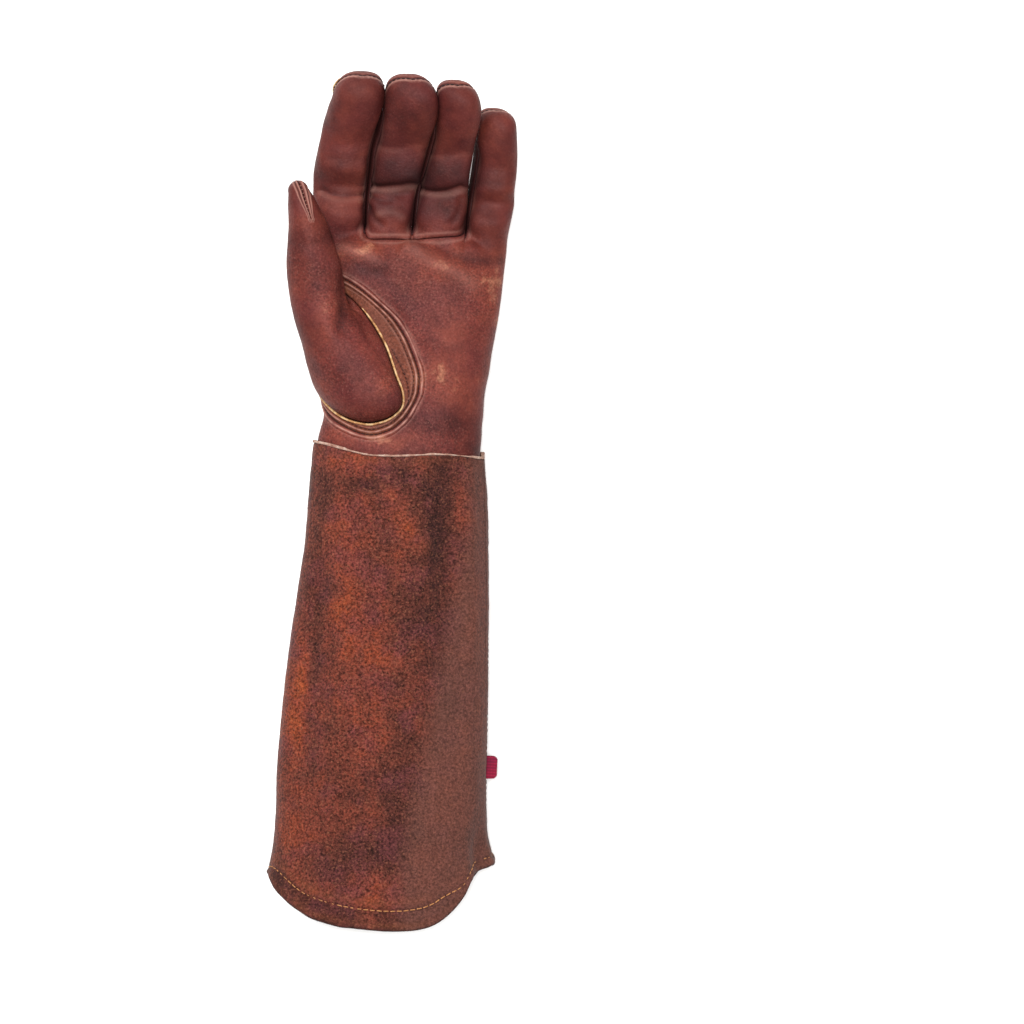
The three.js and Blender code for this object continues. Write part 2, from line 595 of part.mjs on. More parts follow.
// Signed distance of a mark on the hand from the crescent's outer edge, positive outside.
function outsideCrescent(mark) {
  const p = markPoint(mark);
  let nearest = Infinity;
  let at = null;
  let inside = false;
  crescentEdge.forEach((a, i) => {
    const b = crescentEdge[(i + 1) % EDGE_STEPS];
    const along = b.point.clone().sub(a.point);
    const u = THREE.MathUtils.clamp(p.clone().sub(a.point).dot(along) / along.lengthSq(), 0, 1);
    const distance = a.point.clone().addScaledVector(along, u).distanceTo(p);
    if (distance < nearest) {
      nearest = distance;
      at = {
        angle: mix(a.mark.angle, b.mark.angle, u),
        y: mix(a.mark.y, b.mark.y, u),
        around: a.around + (360 / EDGE_STEPS) * u,
      };
    }
    const crosses = a.mark.y > mark.y !== b.mark.y > mark.y;
    const share = (mark.y - a.mark.y) / (b.mark.y - a.mark.y);
    if (crosses && mark.angle < mix(a.mark.angle, b.mark.angle, share)) inside = !inside;
  });
  return { distance: inside ? -nearest : nearest, at };
}

// The part of a mesh outside the crescent: points near its edge move onto it, and faces that cross
// it are cut there.
function cutCrescent(mesh) {
  const snap = 2.2;
  const points = mesh.points.map((p) => p.clone());
  const marks = mesh.marks.map((m) => ({ ...m }));
  const far = marks.map((m, i) => {
    if (m.y > PALM_LENGTH * 0.84) return Infinity;
    const { distance, at } = outsideCrescent(m);
    if (Math.abs(distance) > snap) return distance;
    marks[i] = at;
    points[i] = markPoint(at);
    return 0;
  });
  const crossing = new Map();
  const cross = (i, j) => {
    const key = Math.min(i, j) + "," + Math.max(i, j);
    if (!crossing.has(key)) {
      let low = far[i] > 0 ? marks[j] : marks[i];
      let high = far[i] > 0 ? marks[i] : marks[j];
      for (let n = 0; n < 18; n += 1) {
        const half = { angle: (low.angle + high.angle) / 2, y: (low.y + high.y) / 2 };
        if (outsideCrescent(half).distance > 0) high = half;
        else low = half;
      }
      crossing.set(key, points.length);
      marks.push(outsideCrescent(high).at);
      points.push(markPoint(marks.at(-1)));
      far.push(0);
    }
    return crossing.get(key);
  };
  const faces = [];
  for (const face of mesh.faces) {
    const kept = [];
    face.forEach((i, n) => {
      const j = face[(n + 1) % 3];
      if (far[i] >= 0) kept.push(i);
      if (far[i] * far[j] < 0) kept.push(cross(i, j));
    });
    if (kept.length < 3 || !face.some((i) => far[i] > 0)) continue;
    for (let n = 1; n + 1 < kept.length; n += 1) faces.push([kept[0], kept[n], kept[n + 1]]);
  }
  return join({ points, marks, faces });
}

// The hand's pieces
const palmRows = handRows;
const fingerSpan = (index) => [GUNN_SEAM, 0, ...fingerRows(index)];
const palmSkin = join(
  ...[0, 1, 2, 3].map((i) => stripMesh(i, 1, palmRows)),
  ...[0, 3].map((i) => stripMesh(i, 1, fingerSpan(i))),
);
const middleSkin = join(...[1, 2].map((i) => stripMesh(i, 1, fingerSpan(i))));
const backSkin = join(
  ...[0, 1, 2, 3].flatMap((i) => [stripMesh(i, -1, palmRows), stripMesh(i, -1, fingerSpan(i))]),
);
const forkSkins = [0, 1, 2].map((i) => join(forkMesh(i, 1), forkMesh(i + 1, -1)));
const handNormal = skinNormals(palmSkin, middleSkin, backSkin, ...forkSkins);

// Outward normal of the plain hand at a mark.
function markNormal({ y, angle }) {
  const d = 0.4;
  const around = handSkin(y, angle + d).sub(handSkin(y, angle - d));
  const along = handSkin(y + d, angle).sub(handSkin(y - d, angle));
  return along.cross(around).normalize();
}

const cutPalm = cutCrescent(palmSkin);
const palmNormals = new Map(palmSkin.points.map((p) => [keyOf(p), handNormal(p)]));
cutPalm.points.forEach((p, i) => {
  if (!palmNormals.has(keyOf(p))) palmNormals.set(keyOf(p), markNormal(cutPalm.marks[i]));
});
add("palm_panel", thicken(cutPalm, (p) => palmNormals.get(keyOf(p)), HAND_WALL), LEATHER);
add("middle_ring_front", thicken(middleSkin, handNormal, HAND_WALL), LEATHER);
add("back_panel", thicken(backSkin, handNormal, HAND_WALL), LEATHER);
["fork_index_middle", "fork_middle_ring", "fork_ring_little"].forEach((name, i) => {
  add(name, thicken(forkSkins[i], handNormal, HAND_WALL, FORK_GAP), LEATHER);
});

// The crescent sewn round the thumb's root: its outer corners are those of the palm's hole
const rimMarks = new Map();
for (const [i] of borders(cutPalm)) {
  const mark = cutPalm.marks[i];
  if (mark.around !== undefined) rimMarks.set(mark.around, mark);
}
const rim = [...rimMarks.values()].sort((a, b) => a.around - b.around);
const crescentMark = (outer, q) => {
  const inner = seamMark(outer.around, false);
  return { angle: mix(inner.angle, outer.angle, q), y: mix(inner.y, outer.y, q) };
};
const crescent = join(
  gridMesh([...rim, rim[0]], steps(2), (m, q) => markPoint(crescentMark(m, q)), true, crescentMark),
);
const crescentNormals = new Map(
  crescent.points.map((p, i) => [keyOf(p), markNormal(crescent.marks[i])]),
);
add("thumb_crescent", thicken(crescent, (p) => crescentNormals.get(keyOf(p)), HAND_WALL), LEATHER);

// The thumb: rings from the seam on the hand, over its root, to a free tube with a round tip
function thumbRing(u) {
  const rows = THUMB.map((r, i) => ({ ...r, at: i / (THUMB.length - 1) }));
  const get = (column, at) => read(rows, "at", column, at);
  const place = (at) =>
    new THREE.Vector3(get("across", at) * PALM_WIDTH, get("along", at) * PALM_LENGTH, get("height", at) * PALM_DEPTH);
  const d = 0.02;
  const ahead = place(Math.min(u + d, 1)).sub(place(Math.max(u - d, 0))).normalize();
  const right = new THREE.Vector3().crossVectors(ahead, new THREE.Vector3(0, 0, 1)).normalize();
  const up = new THREE.Vector3().crossVectors(right, ahead);
  return { centre: place(u), ahead, right, up, a: (get("width", u) * THUMB_WIDTH) / 2, b: (get("depth", u) * THUMB_DEPTH) / 2 };
}

function tubePoint(u, around, size) {
  const ring = thumbRing(u);
  return ring.centre
    .clone()
    .addScaledVector(ring.right, ring.a * size * Math.cos(radians(around)))
    .addScaledVector(ring.up, ring.b * size * Math.sin(radians(around)));
}

const THUMB_TIP = 5.5; // length of the rounded tip beyond the last ring
function thumbSkin(h, around) {
  if (h <= 1) {
    const mark = seamMark(around, false);
    const from = markPoint(mark);
    const to = tubePoint(THUMB_TUBE_START, around, 1);
    const span = from.distanceTo(to);
    const lift = readRound(THUMB_SEAM, "around", "lift", around);
    const leave = markNormal(mark).multiplyScalar(span * lift);
    const arrive = thumbRing(THUMB_TUBE_START).ahead.multiplyScalar(span * 1.0);
    const [u2, u3] = [h * h, h * h * h];
    return from
      .multiplyScalar(2 * u3 - 3 * u2 + 1)
      .addScaledVector(leave, u3 - 2 * u2 + h)
      .addScaledVector(to, 3 * u2 - 2 * u3)
      .addScaledVector(arrive, u3 - u2);
  }
  if (h <= 2) return tubePoint(mix(THUMB_TUBE_START, 1, h - 1), around, 1);
  const u = h - 2;
  return tubePoint(1, around, Math.sqrt(1 - u * u)).addScaledVector(thumbRing(1).ahead, u * THUMB_TIP);
}
const thumbRows = [
  ...steps(THUMB_ROOT_ROWS),
  ...steps(THUMB_TUBE_ROWS).slice(1).map((u) => 1 + u),
  ...[2.5, 2.85, 3],
];
const thumb = join(gridMesh(thumbRows, steps(THUMB_SIDES).map((u) => 360 * u), thumbSkin, true));
add("thumb", thicken(thumb, skinNormals(thumb), HAND_WALL), LEATHER);

// The cuff: its wrist end lies round the hand, its hem end is the opening
function cuffSkin(v, angle) {
  const along = Math.min(v, 1);
  const margin = CUFF_CLEARANCE + CUFF_WALL;
  const wrist = handSection(0);
  const part = (column) => read(CUFF, "along", column, along);
  const shift = HEM_SHIFT * HEM_OPENING_WIDTH;
  const left = mix(wrist.x - wrist.a - margin, shift - HEM_OPENING_WIDTH / 2, part("thumb"));
  const right = mix(wrist.x + wrist.a + margin, shift + HEM_OPENING_WIDTH / 2, part("little"));
  const top = mix(wrist.z + wrist.b + margin, HEM_OPENING_DEPTH, part("palm"));
  const bottom = mix(wrist.z - wrist.b - margin, -FLAT * 1.6, part("back"));
  const o = oval(angle);
  let rise = 0;
  for (const f of CUFF_FOLDS) {
    const turn = THREE.MathUtils.euclideanModulo(angle - f.around + 180, 360) - 180;
    rise += f.rise * HEM_OPENING_DEPTH * bell(turn / f.turn) * bell((along - f.along) / f.long);
  }
  const length = CUFF_LENGTH + readRound(HEM, "around", "reach", angle) * HEM_DIP;
  const x = (left + right) / 2 + (o.x * (right - left)) / 2 + rise * Math.cos(radians(angle));
  const z = (top + bottom) / 2 + (o.z * (top - bottom)) / 2 + rise * Math.sin(radians(angle));
  return new THREE.Vector3(x, -v * length, onFloor(z));
}

const hemLine = 1 - HEM_FOLD / (CUFF_LENGTH + HEM_DIP);
const hemStep = 1 / (CUFF_LENGTH + HEM_DIP);
const cuffRows = [...CUFF_ROWS, hemLine - hemStep, hemLine, (1 + hemLine) / 2, 1];
const cuffWall = (v) => (v < hemLine - hemStep / 2 ? CUFF_WALL : 2 * CUFF_WALL);
const cuffPanel = (angles) => join(gridMesh(cuffRows, angles, cuffSkin, false, (v) => v));
const cuffFront = cuffPanel([SIDE_SEAM, ...CUFF_FRONT_ANGLES, PIPED_SEAM]);
const cuffBack = cuffPanel([PIPED_SEAM, ...CUFF_BACK_ANGLES, 360 + SIDE_SEAM]);
const cuffNormal = skinNormals(cuffFront, cuffBack);
add("cuff_front", thicken(cuffFront, cuffNormal, cuffWall), SUEDE);
add("cuff_back", thicken(cuffBack, cuffNormal, cuffWall), SUEDE);

// The pale cut edge along the cuff's top
const EDGE_ANGLES = [SIDE_SEAM, ...CUFF_FRONT_ANGLES, PIPED_SEAM, ...CUFF_BACK_ANGLES];
function cutEdge() {
  const points = [];
  const faces = [];
  const corners = [[0, 0], [0, 1], [1, 1], [1, 0]];
  for (const angle of EDGE_ANGLES) {
    const outer = cuffSkin(0, angle);
    const out = cuffSkin(0, angle + 1).sub(cuffSkin(0, angle - 1)).cross(new THREE.Vector3(0, -1, 0)).normalize();
    corners.forEach(([deep, high]) => {
      const y = SEAM_GAP / 2 + high * CUT_EDGE;
      points.push(outer.clone().addScaledVector(out, -deep * CUFF_WALL).setY(y));
    });
  }
  for (let i = 0; i < EDGE_ANGLES.length; i += 1) {
    const next = (i + 1) % EDGE_ANGLES.length;
    corners.forEach((_, k) => {
      const l = (k + 1) % 4;
      const [a, b, c, d] = [4 * i + k, 4 * next + k, 4 * next + l, 4 * i + l];
      faces.push([a, c, b], [a, d, c]);
    });
  }
  return solid(points, faces);
}
add("cuff_cut_edge", cutEdge(), PALE);

// A welt along a line of points
function welt(points, stepsAlong) {
  const section = new THREE.Shape();
  for (let i = 0; i <= PIPING_SIDES; i += 1) {
    const turn = (2 * Math.PI * i) / PIPING_SIDES;
    const p = [(Math.cos(turn) * PIPING) / 2, (Math.sin(turn) * PIPING) / 2];
    if (i) section.lineTo(...p);
    else section.moveTo(...p);
  }
  const path = new THREE.CatmullRomCurve3(points, false, "centripetal");
  return new THREE.ExtrudeGeometry(section, { steps: stepsAlong, extrudePath: path });
}

// The welt round the thumb lies in the corner between the crescent and the thumb's wall
const weltLift = PIPING / 2 + PIPING_CLEARANCE;
function thumbWeltPoint(around) {
  const mark = seamMark(around, false);
  const normal = markNormal(mark);
  const away = markPoint(seamMark(around, true)).sub(markPoint(mark));
  away.addScaledVector(normal, -away.dot(normal)).normalize();
  return markPoint(mark).addScaledVector(normal, weltLift).addScaledVector(away, weltLift);
}
const thumbTurns = steps(30).map((u) => mix(THUMB_PIPING_FROM, THUMB_PIPING_TO, u));
add("thumb_piping", welt(thumbTurns.map(thumbWeltPoint), 44), GOLD);

// The welt in the seam on the back, from the cuff to the index fingertip
function backWeltPoint(v) {
  const d = 0.5;
  const p = stripSkin(0, 1, v, 0);
  const along = stripSkin(0, 1, v + d, 0).sub(stripSkin(0, 1, v - d, 0));
  const across = stripSkin(0, 1, v, 0.03).sub(stripSkin(0, -1, v, 0.03));
  const out = new THREE.Vector3().crossVectors(across, along).normalize();
  return p.addScaledVector(out, weltLift);
}
const WELT_TIP = 0.93; // share of the index finger that the welt reaches
const weltFrom = -PALM_LENGTH + SEAM_GAP + CUT_EDGE + PIPING;
const weltRows = steps(26).map((u) => mix(weltFrom, WELT_TIP * fingers[0].length, u));
add("back_piping", welt(weltRows.map(backWeltPoint), 40), GOLD);

// The ribbon tab, folded once, in the side seam of the cuff
function tab() {
  const root = cuffSkin(TAB_PLACE, 0);
  const air = RIBBON * 0.6;
  const half = RIBBON + air / 2;
  const outline = new THREE.Shape();
  outline.moveTo(0, -half);
  outline.lineTo(TAB_REACH - half, -half);
  outline.absarc(TAB_REACH - half, 0, half, -Math.PI / 2, Math.PI / 2);
  outline.lineTo(0, half);
  outline.lineTo(0, air / 2);
  outline.lineTo(TAB_REACH - half, air / 2);
  outline.absarc(TAB_REACH - half, 0, air / 2, Math.PI / 2, -Math.PI / 2, true);
  outline.lineTo(0, -air / 2);
  const geometry = new THREE.ExtrudeGeometry(outline, { depth: TAB_LENGTH, bevelEnabled: false, curveSegments: 5 });
  const slack = 0.4;
  geometry.rotateX(Math.PI / 2).translate(root.x + slack, root.y + TAB_LENGTH / 2, root.z);
  return geometry;
}
add("side_tab", tab(), RED);

// The group's origin is under the middle of the whole glove, on the floor
const bounds = new THREE.Box3().setFromObject(glove);
const middle = bounds.getCenter(new THREE.Vector3());
glove.position.set(-middle.x, -middle.y, -bounds.min.z);

export default glove;
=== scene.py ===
"""Looks of a long rose pruning gauntlet for the left hand: leather hand, suede cuff, palm up."""

import itertools
import logging
import math
from dataclasses import dataclass, field
from enum import Enum, IntEnum

import bpy
import numpy as np
from mathutils.kdtree import KDTree
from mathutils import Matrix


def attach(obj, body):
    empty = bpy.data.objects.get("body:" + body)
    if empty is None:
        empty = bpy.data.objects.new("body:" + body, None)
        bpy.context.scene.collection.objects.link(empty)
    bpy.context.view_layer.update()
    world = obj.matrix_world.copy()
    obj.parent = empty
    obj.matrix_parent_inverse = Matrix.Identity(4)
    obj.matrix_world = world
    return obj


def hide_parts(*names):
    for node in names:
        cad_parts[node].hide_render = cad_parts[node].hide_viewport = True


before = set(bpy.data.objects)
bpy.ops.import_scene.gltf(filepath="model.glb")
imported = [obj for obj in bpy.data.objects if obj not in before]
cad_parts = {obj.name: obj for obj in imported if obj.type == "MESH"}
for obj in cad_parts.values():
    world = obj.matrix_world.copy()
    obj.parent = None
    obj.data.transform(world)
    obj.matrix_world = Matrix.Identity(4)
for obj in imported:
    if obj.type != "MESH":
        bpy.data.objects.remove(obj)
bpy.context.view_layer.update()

Array = np.ndarray
Rows = tuple[tuple[float, ...], ...]
Lines = list[tuple[Array, Array]]  # points and outward directions of each line to sew along
log = logging.getLogger("gauntlet")

MM = 0.001  # metres
PART_SHIFT = np.array((0.4863, 26.1874, 0.0007))  # from the wrist seam's middle to the origin
WELD = 0.002  # points closer than this become one
GRAIN_STEP = 1.0  # spacing of the points on the leather
SUEDE_STEP = 1.3  # and on the suede


class Slot(Enum):
    """The record's material slots."""

    LEATHER = "hand_leather"
    SUEDE = "cuff_suede"
    EDGE = "cut_edge"
    WELT = "gold_welt"
    RIBBON = "red_ribbon"


class Face(IntEnum):
    """The two faces of the hand."""

    PALM = 1
    BACK = -1


class Side(IntEnum):
    """The two sides of a finger."""

    THUMB = -1
    LITTLE = 1


# Curves, tables and noise


def ease(x: Array | float) -> Array:
    """Smooth step from 0 to 1."""
    x = np.clip(x, 0, 1)
    return x * x * (3 - 2 * x)


def bell(x: Array | float) -> Array:
    """A hump of height 1 round 0."""
    return np.exp(-np.square(x))


def mix(a: Array | float, b: Array | float, share: Array | float) -> Array | float:
    """The value that share of the way from a to b has."""
    return a + (b - a) * share


def paired(a: Array | float, b: Array | float) -> tuple[Array, Array]:
    """Two arrays of numbers brought to one shape."""
    return np.broadcast_arrays(np.asarray(a, float), np.asarray(b, float))


def stack(x: Array | float, y: Array | float, z: Array | float) -> Array:
    """Points from their coordinates."""
    return np.stack(np.broadcast_arrays(x, y, z), axis=-1).astype(float)


def unit(vectors: Array) -> Array:
    """Vectors scaled to length 1."""
    return vectors / np.maximum(np.linalg.norm(vectors, axis=-1, keepdims=True), 1e-9)


def srgb(code: str) -> tuple[float, float, float, float]:
    """A linear colour from a six-digit screen colour.

    Args:
        code: red, green and blue as two hexadecimal digits each.

    Returns:
        The colour with full cover.
    """
    parts = [int(code[i : i + 2], 16) / 255 for i in (0, 2, 4)]
    linear = [p / 12.92 if p <= 0.04045 else ((p + 0.055) / 1.055) ** 2.4 for p in parts]
    return (*linear, 1.0)


@dataclass(frozen=True)
class Table:
    """Named columns read as smooth curves of the first one.

    Attributes:
        columns: names, the key column first.
        rows: one tuple of numbers a row, by rising key.
        turn: period of the key, or 0 where it doesn't go round.
    """

    columns: tuple[str, ...]
    rows: Rows
    turn: float = 0.0

    def read(self, column: str, at: Array | float) -> Array:
        """A column's value at values of the key.

        Args:
            column: the column's name.
            at: values of the key column.

        Returns:
            The smooth curve through the column at those values.
        """
        data = np.array(self.rows, float)
        keys, values = data[:, 0], data[:, self.columns.index(column)]
        at = np.asarray(at, float)
        if self.turn:
            keys = np.concatenate([keys[-2:] - self.turn, keys, keys[:2] + self.turn])
            values = np.concatenate([values[-2:], values, values[:2]])
            at = np.mod(at, self.turn)
        last = len(keys) - 1
        ahead = np.minimum(np.arange(last + 1) + 1, last)
        behind = np.maximum(np.arange(last + 1) - 1, 0)
        slopes = (values[ahead] - values[behind]) / (keys[ahead] - keys[behind])
        i = np.clip(np.searchsorted(keys, at) - 1, 0, last - 1)
        step = keys[i + 1] - keys[i]
        u = np.clip((at - keys[i]) / step, 0, 1)
        bend = u * (1 - u) * step * ((1 - u) * slopes[i] - u * slopes[i + 1])
        return values[i] + ease(u) * (values[i + 1] - values[i]) + bend


class Noise:
    """Smooth seeded noise between -1 and 1, the same in every run."""

    def __init__(self, seed: int) -> None:
        """Draws the lattice.

        Args:
            seed: fixes the pattern.
        """
        self.lattice = np.random.default_rng(seed).uniform(-1, 1, (32, 32, 32))

    def at(self, points: Array, size: float | tuple[float, float, float]) -> Array:
        """The noise at points.

        Args:
            points: places in millimetres.
            size: width of the humps, one for all or one for each axis.

        Returns:
            One value for each point.
        """
        place = points / np.asarray(size, float)
        cell = np.floor(place).astype(int)
        part = ease(place - cell)
        total = np.zeros(points.shape[:-1])
        for corner in itertools.product((0, 1), repeat=3):
            i, j, k = np.moveaxis((cell + corner) & 31, -1, 0)
            weight = np.prod(np.where(corner, part, 1 - part), axis=-1)
            total += self.lattice[i, j, k] * weight
        return total


LEATHER_NOISE = Noise(11)
SUEDE_NOISE = Noise(23)


def line_distance(points: Array, line: Array) -> Array:
    """Distance of points from a line of joined points.

    Args:
        points: places, one a row.
        line: the line's points, in as many dimensions.

    Returns:
        One distance for each point.
    """
    best = np.full(len(points), np.inf)
    for a, b in zip(line[:-1], line[1:]):
        along = b - a
        share = np.clip((points - a) @ along / max(along @ along, 1e-9), 0, 1)
        best = np.minimum(best, np.linalg.norm(points - a - share[:, None] * along, axis=1))
    return best


def oval(angle: Array | float) -> tuple[Array, Array]:
    """A rounded oval of unit size, rounder on the palm side.

    Args:
        angle: degrees, 0 on the little-finger side and 90 on the palm.

    Returns:
        The point's place across and up.
    """
    c, s = np.cos(np.radians(angle)), np.sin(np.radians(angle))
    power = 2.45 - 0.3 * s
    size = (np.abs(c) ** power + np.abs(s) ** power) ** (-1 / power)
    return c * size, s * size


def angle_across(share: float, face: Face) -> float:
    """The oval's angle at a place across one face.

    Args:
        share: of the oval's width, from the thumb side.
        face: palm or back.

    Returns:
        The angle in degrees.
    """
    low, high = 0.0, 180.0
    for _ in range(40):
        middle = (low + high) / 2
        if oval(face * middle)[0] > share * 2 - 1:
            low = middle
        else:
            high = middle
    return low if face > 0 else 360 - low


FLAT = 2.0  # how deep the leather flattens where it lies on the floor


def on_floor(z: Array) -> Array:
    """Heights with what would reach below the floor laid flat on it."""
    soft = np.where(z < FLAT, (z + FLAT) ** 2 / (4 * FLAT), z)
    return np.where(z <= -FLAT, 0, soft)


def spread(start: float, end: float, step: float) -> Array:
    """Even steps from start up to end, both kept."""
    return np.linspace(start, end, max(2, int(math.ceil((end - start) / step)) + 1))


SEAM_STEPS = np.array((0.0, 0.25, 0.55, 0.9, 1.4, 2.1))  # distances of the points next to a seam


def seamed(width: float, step: float) -> Array:
    """Shares across a strip whose points lie closer next to its two seams.

    Args:
        width: of the strip.
        step: spacing away from the seams.

    Returns:
        Shares from 0 to 1.
    """
    edge = SEAM_STEPS / width
    inner = spread(edge[-1], 1 - edge[-1], step / width)[1:-1]
    return np.concatenate([edge, inner, 1 - edge[::-1]])


# Sheets of points


@dataclass
class Sheet:
    """A skin of points in millimetres, with faces of four corners; a triangle repeats one.

    Attributes:
        points: places, one a row.
        faces: point numbers, four a row.
        marks: values that belong to the points, by name.
    """

    points: Array
    faces: Array
    marks: dict[str, Array] = field(default_factory=dict)

    @staticmethod
    def grid(points: Array, flip: bool = False, **marks: Array) -> "Sheet":
        """A sheet from rows and columns of points.

        Args:
            points: places by row and column.
            flip: turns the faces round.
            marks: values by row and column.

        Returns:
            The sheet.
        """
        rows, columns = points.shape[:2]
        number = np.arange(rows * columns).reshape(rows, columns)
        corners = [number[:-1, :-1], number[:-1, 1:], number[1:, 1:], number[1:, :-1]]
        if flip:
            corners.reverse()
        faces = np.stack([c.ravel() for c in corners], axis=1)
        flat = {k: np.broadcast_to(v, (rows, columns)).ravel() for k, v in marks.items()}
        return Sheet(points.reshape(-1, 3), faces, flat)

    @staticmethod
    def joined(*sheets: "Sheet", weld: bool = True) -> "Sheet":
        """Several sheets as one.

        Args:
            sheets: the sheets.
            weld: joins equal points, so that the sheets become one skin.

        Returns:
            The joined sheet.
        """
        starts = np.cumsum([0] + [len(s.points) for s in sheets[:-1]])
        points = np.concatenate([s.points for s in sheets])
        faces = np.concatenate([s.faces + n for s, n in zip(sheets, starts)])
        marks = {k: np.concatenate([s.marks[k] for s in sheets]) for k in sheets[0].marks}
        if not weld:
            return Sheet(points, faces, marks)
        keys = np.round(points / WELD).astype(np.int64)
        _, first, index = np.unique(keys, axis=0, return_index=True, return_inverse=True)
        faces = Sheet.sound(index.reshape(-1)[faces])
        return Sheet(points[first], faces, {k: v[first] for k, v in marks.items()})

    @staticmethod
    def sound(faces: Array) -> Array:
        """Faces without those that have shrunk to a line or point.

        Args:
            faces: point numbers, four a row.

        Returns:
            The faces that are left.
        """
        same = faces == np.roll(faces, -1, axis=1)
        count = same.sum(axis=1)
        whole = faces[count == 0]
        crossed = (whole[:, 0] == whole[:, 2]) | (whole[:, 1] == whole[:, 3])
        thin = faces[count == 1]
        order = (np.argmax(same[count == 1], axis=1)[:, None] + np.array((1, 2, 3, 3))) % 4
        thin = np.take_along_axis(thin, order, axis=1)
        distinct = (thin[:, 0] != thin[:, 1]) & (thin[:, 1] != thin[:, 2]) & (thin[:, 0] != thin[:, 2])
        return np.concatenate([whole[~crossed], thin[distinct]])

    def normals(self) -> Array:
        """Outward directions.

        Returns:
            One unit vector for each point.
        """
        a, b, c, d = (self.points[self.faces[:, k]] for k in range(4))
        normal = np.cross(c - a, d - b)
        total = np.zeros_like(self.points)
        for k in range(4):
            np.add.at(total, self.faces[:, k], normal)
        return unit(total)

    def border(self) -> Array:
        """Open edges.

        Returns:
            Pairs of point numbers, in the order of their faces.
        """
        pairs = np.concatenate([self.faces[:, [k, (k + 1) % 4]] for k in range(4)])
        pairs = pairs[pairs[:, 0] != pairs[:, 1]]
        count = len(self.points)
        forth = pairs[:, 0] * count + pairs[:, 1]
        back = pairs[:, 1] * count + pairs[:, 0]
        return pairs[~np.isin(forth, back)]

    def border_distance(self) -> Array:
        """Distances from the nearest open edge.

        Returns:
            One for each point.
        """
        rim = self.border()
        a, b = self.points[rim[:, 0]], self.points[rim[:, 1]]
        samples = np.concatenate([mix(a, b, share) for share in (0.0, 1 / 3, 2 / 3)])
        tree = KDTree(len(samples))
        for i, p in enumerate(samples):
            tree.insert(p, i)
        tree.balance()
        return np.array([tree.find(p)[2] for p in self.points])

    def clipped(self, distance: Array) -> "Sheet":
        """The part where a signed distance isn't below 0.

        Args:
            distance: one value for each point.

        Returns:
            The sheet cut along the line of 0.
        """
        distance = np.where(np.abs(distance) < 0.12, 0.0, distance)
        sign = distance[self.faces]
        kept = self.faces[(sign >= 0).all(axis=1)]
        crossing = self.faces[(sign > 0).any(axis=1) & (sign < 0).any(axis=1)]
        count, faces, made = len(self.points), [], {}
        for face in crossing.tolist():
            face = list(dict.fromkeys(face))
            ring = []
            for i, j in zip(face, face[1:] + face[:1]):
                if distance[i] >= 0:
                    ring.append(i)
                if distance[i] * distance[j] < 0:
                    ring.append(made.setdefault((min(i, j), max(i, j)), count + len(made)))
            for k in range(1, len(ring) - 1, 2):
                faces.append([ring[0], ring[k], ring[k + 1], ring[min(k + 2, len(ring) - 1)]])
        low, high = np.array(list(made)).T
        share = distance[low] / (distance[low] - distance[high])
        between = mix(self.points[low], self.points[high], share[:, None])
        marks = {k: np.concatenate([v, mix(v[low], v[high], share)]) for k, v in self.marks.items()}
        faces = np.concatenate([kept, np.array(faces)])
        return Sheet(np.concatenate([self.points, between]), faces, marks).used()

    def used(self) -> "Sheet":
        """Leaves out points that no face has.

        Returns:
            The sheet without them.
        """
        numbers, faces = np.unique(self.faces, return_inverse=True)
        faces = faces.reshape(self.faces.shape)
        return Sheet(self.points[numbers], faces, {k: v[numbers] for k, v in self.marks.items()})

    def shell(self, wall: float | Array, rise: Array | float = 0.0, roll: float = 1.1) -> "Sheet":
        """A closed wall of leather with rounded edges.

        Args:
            wall: thickness, inwards from the sheet.
            rise: how far the leather stands out or, below 0, sinks at each point.
            roll: least width of the rounding along the edges.

        Returns:
            The wall, whose first points are those of its outside.
        """
        inset = 0.08
        count = len(self.points)
        normal = self.normals()
        rim = self.border()
        edge = self.points[rim[:, 1]] - self.points[rim[:, 0]]
        towards = unit(np.cross(normal[rim].mean(axis=1), edge))
        pull = np.zeros_like(self.points)
        np.add.at(pull, rim[:, 0], towards)
        np.add.at(pull, rim[:, 1], towards)
        radius = np.maximum(roll, np.asarray(wall) / 2)
        away = 1 - np.clip(self.border_distance() / radius, 0, 1)
        share = np.maximum(np.sqrt(1 - away**2), 0.14)
        half = (wall / 2 * share)[:, None]
        middle = self.points + unit(pull) * inset * (np.abs(pull).sum(axis=1, keepdims=True) > 0)
        middle = middle + normal * (rise - np.asarray(wall) / 2 + np.zeros(count))[:, None]
        sides = np.stack([rim[:, 1], rim[:, 0], rim[:, 0] + count, rim[:, 1] + count], axis=1)
        faces = np.concatenate([self.faces, self.faces[:, ::-1] + count, sides])
        marks = {k: np.concatenate([v, v]) for k, v in self.marks.items()}
        return Sheet(np.concatenate([middle + normal * half, middle - normal * half]), faces, marks)


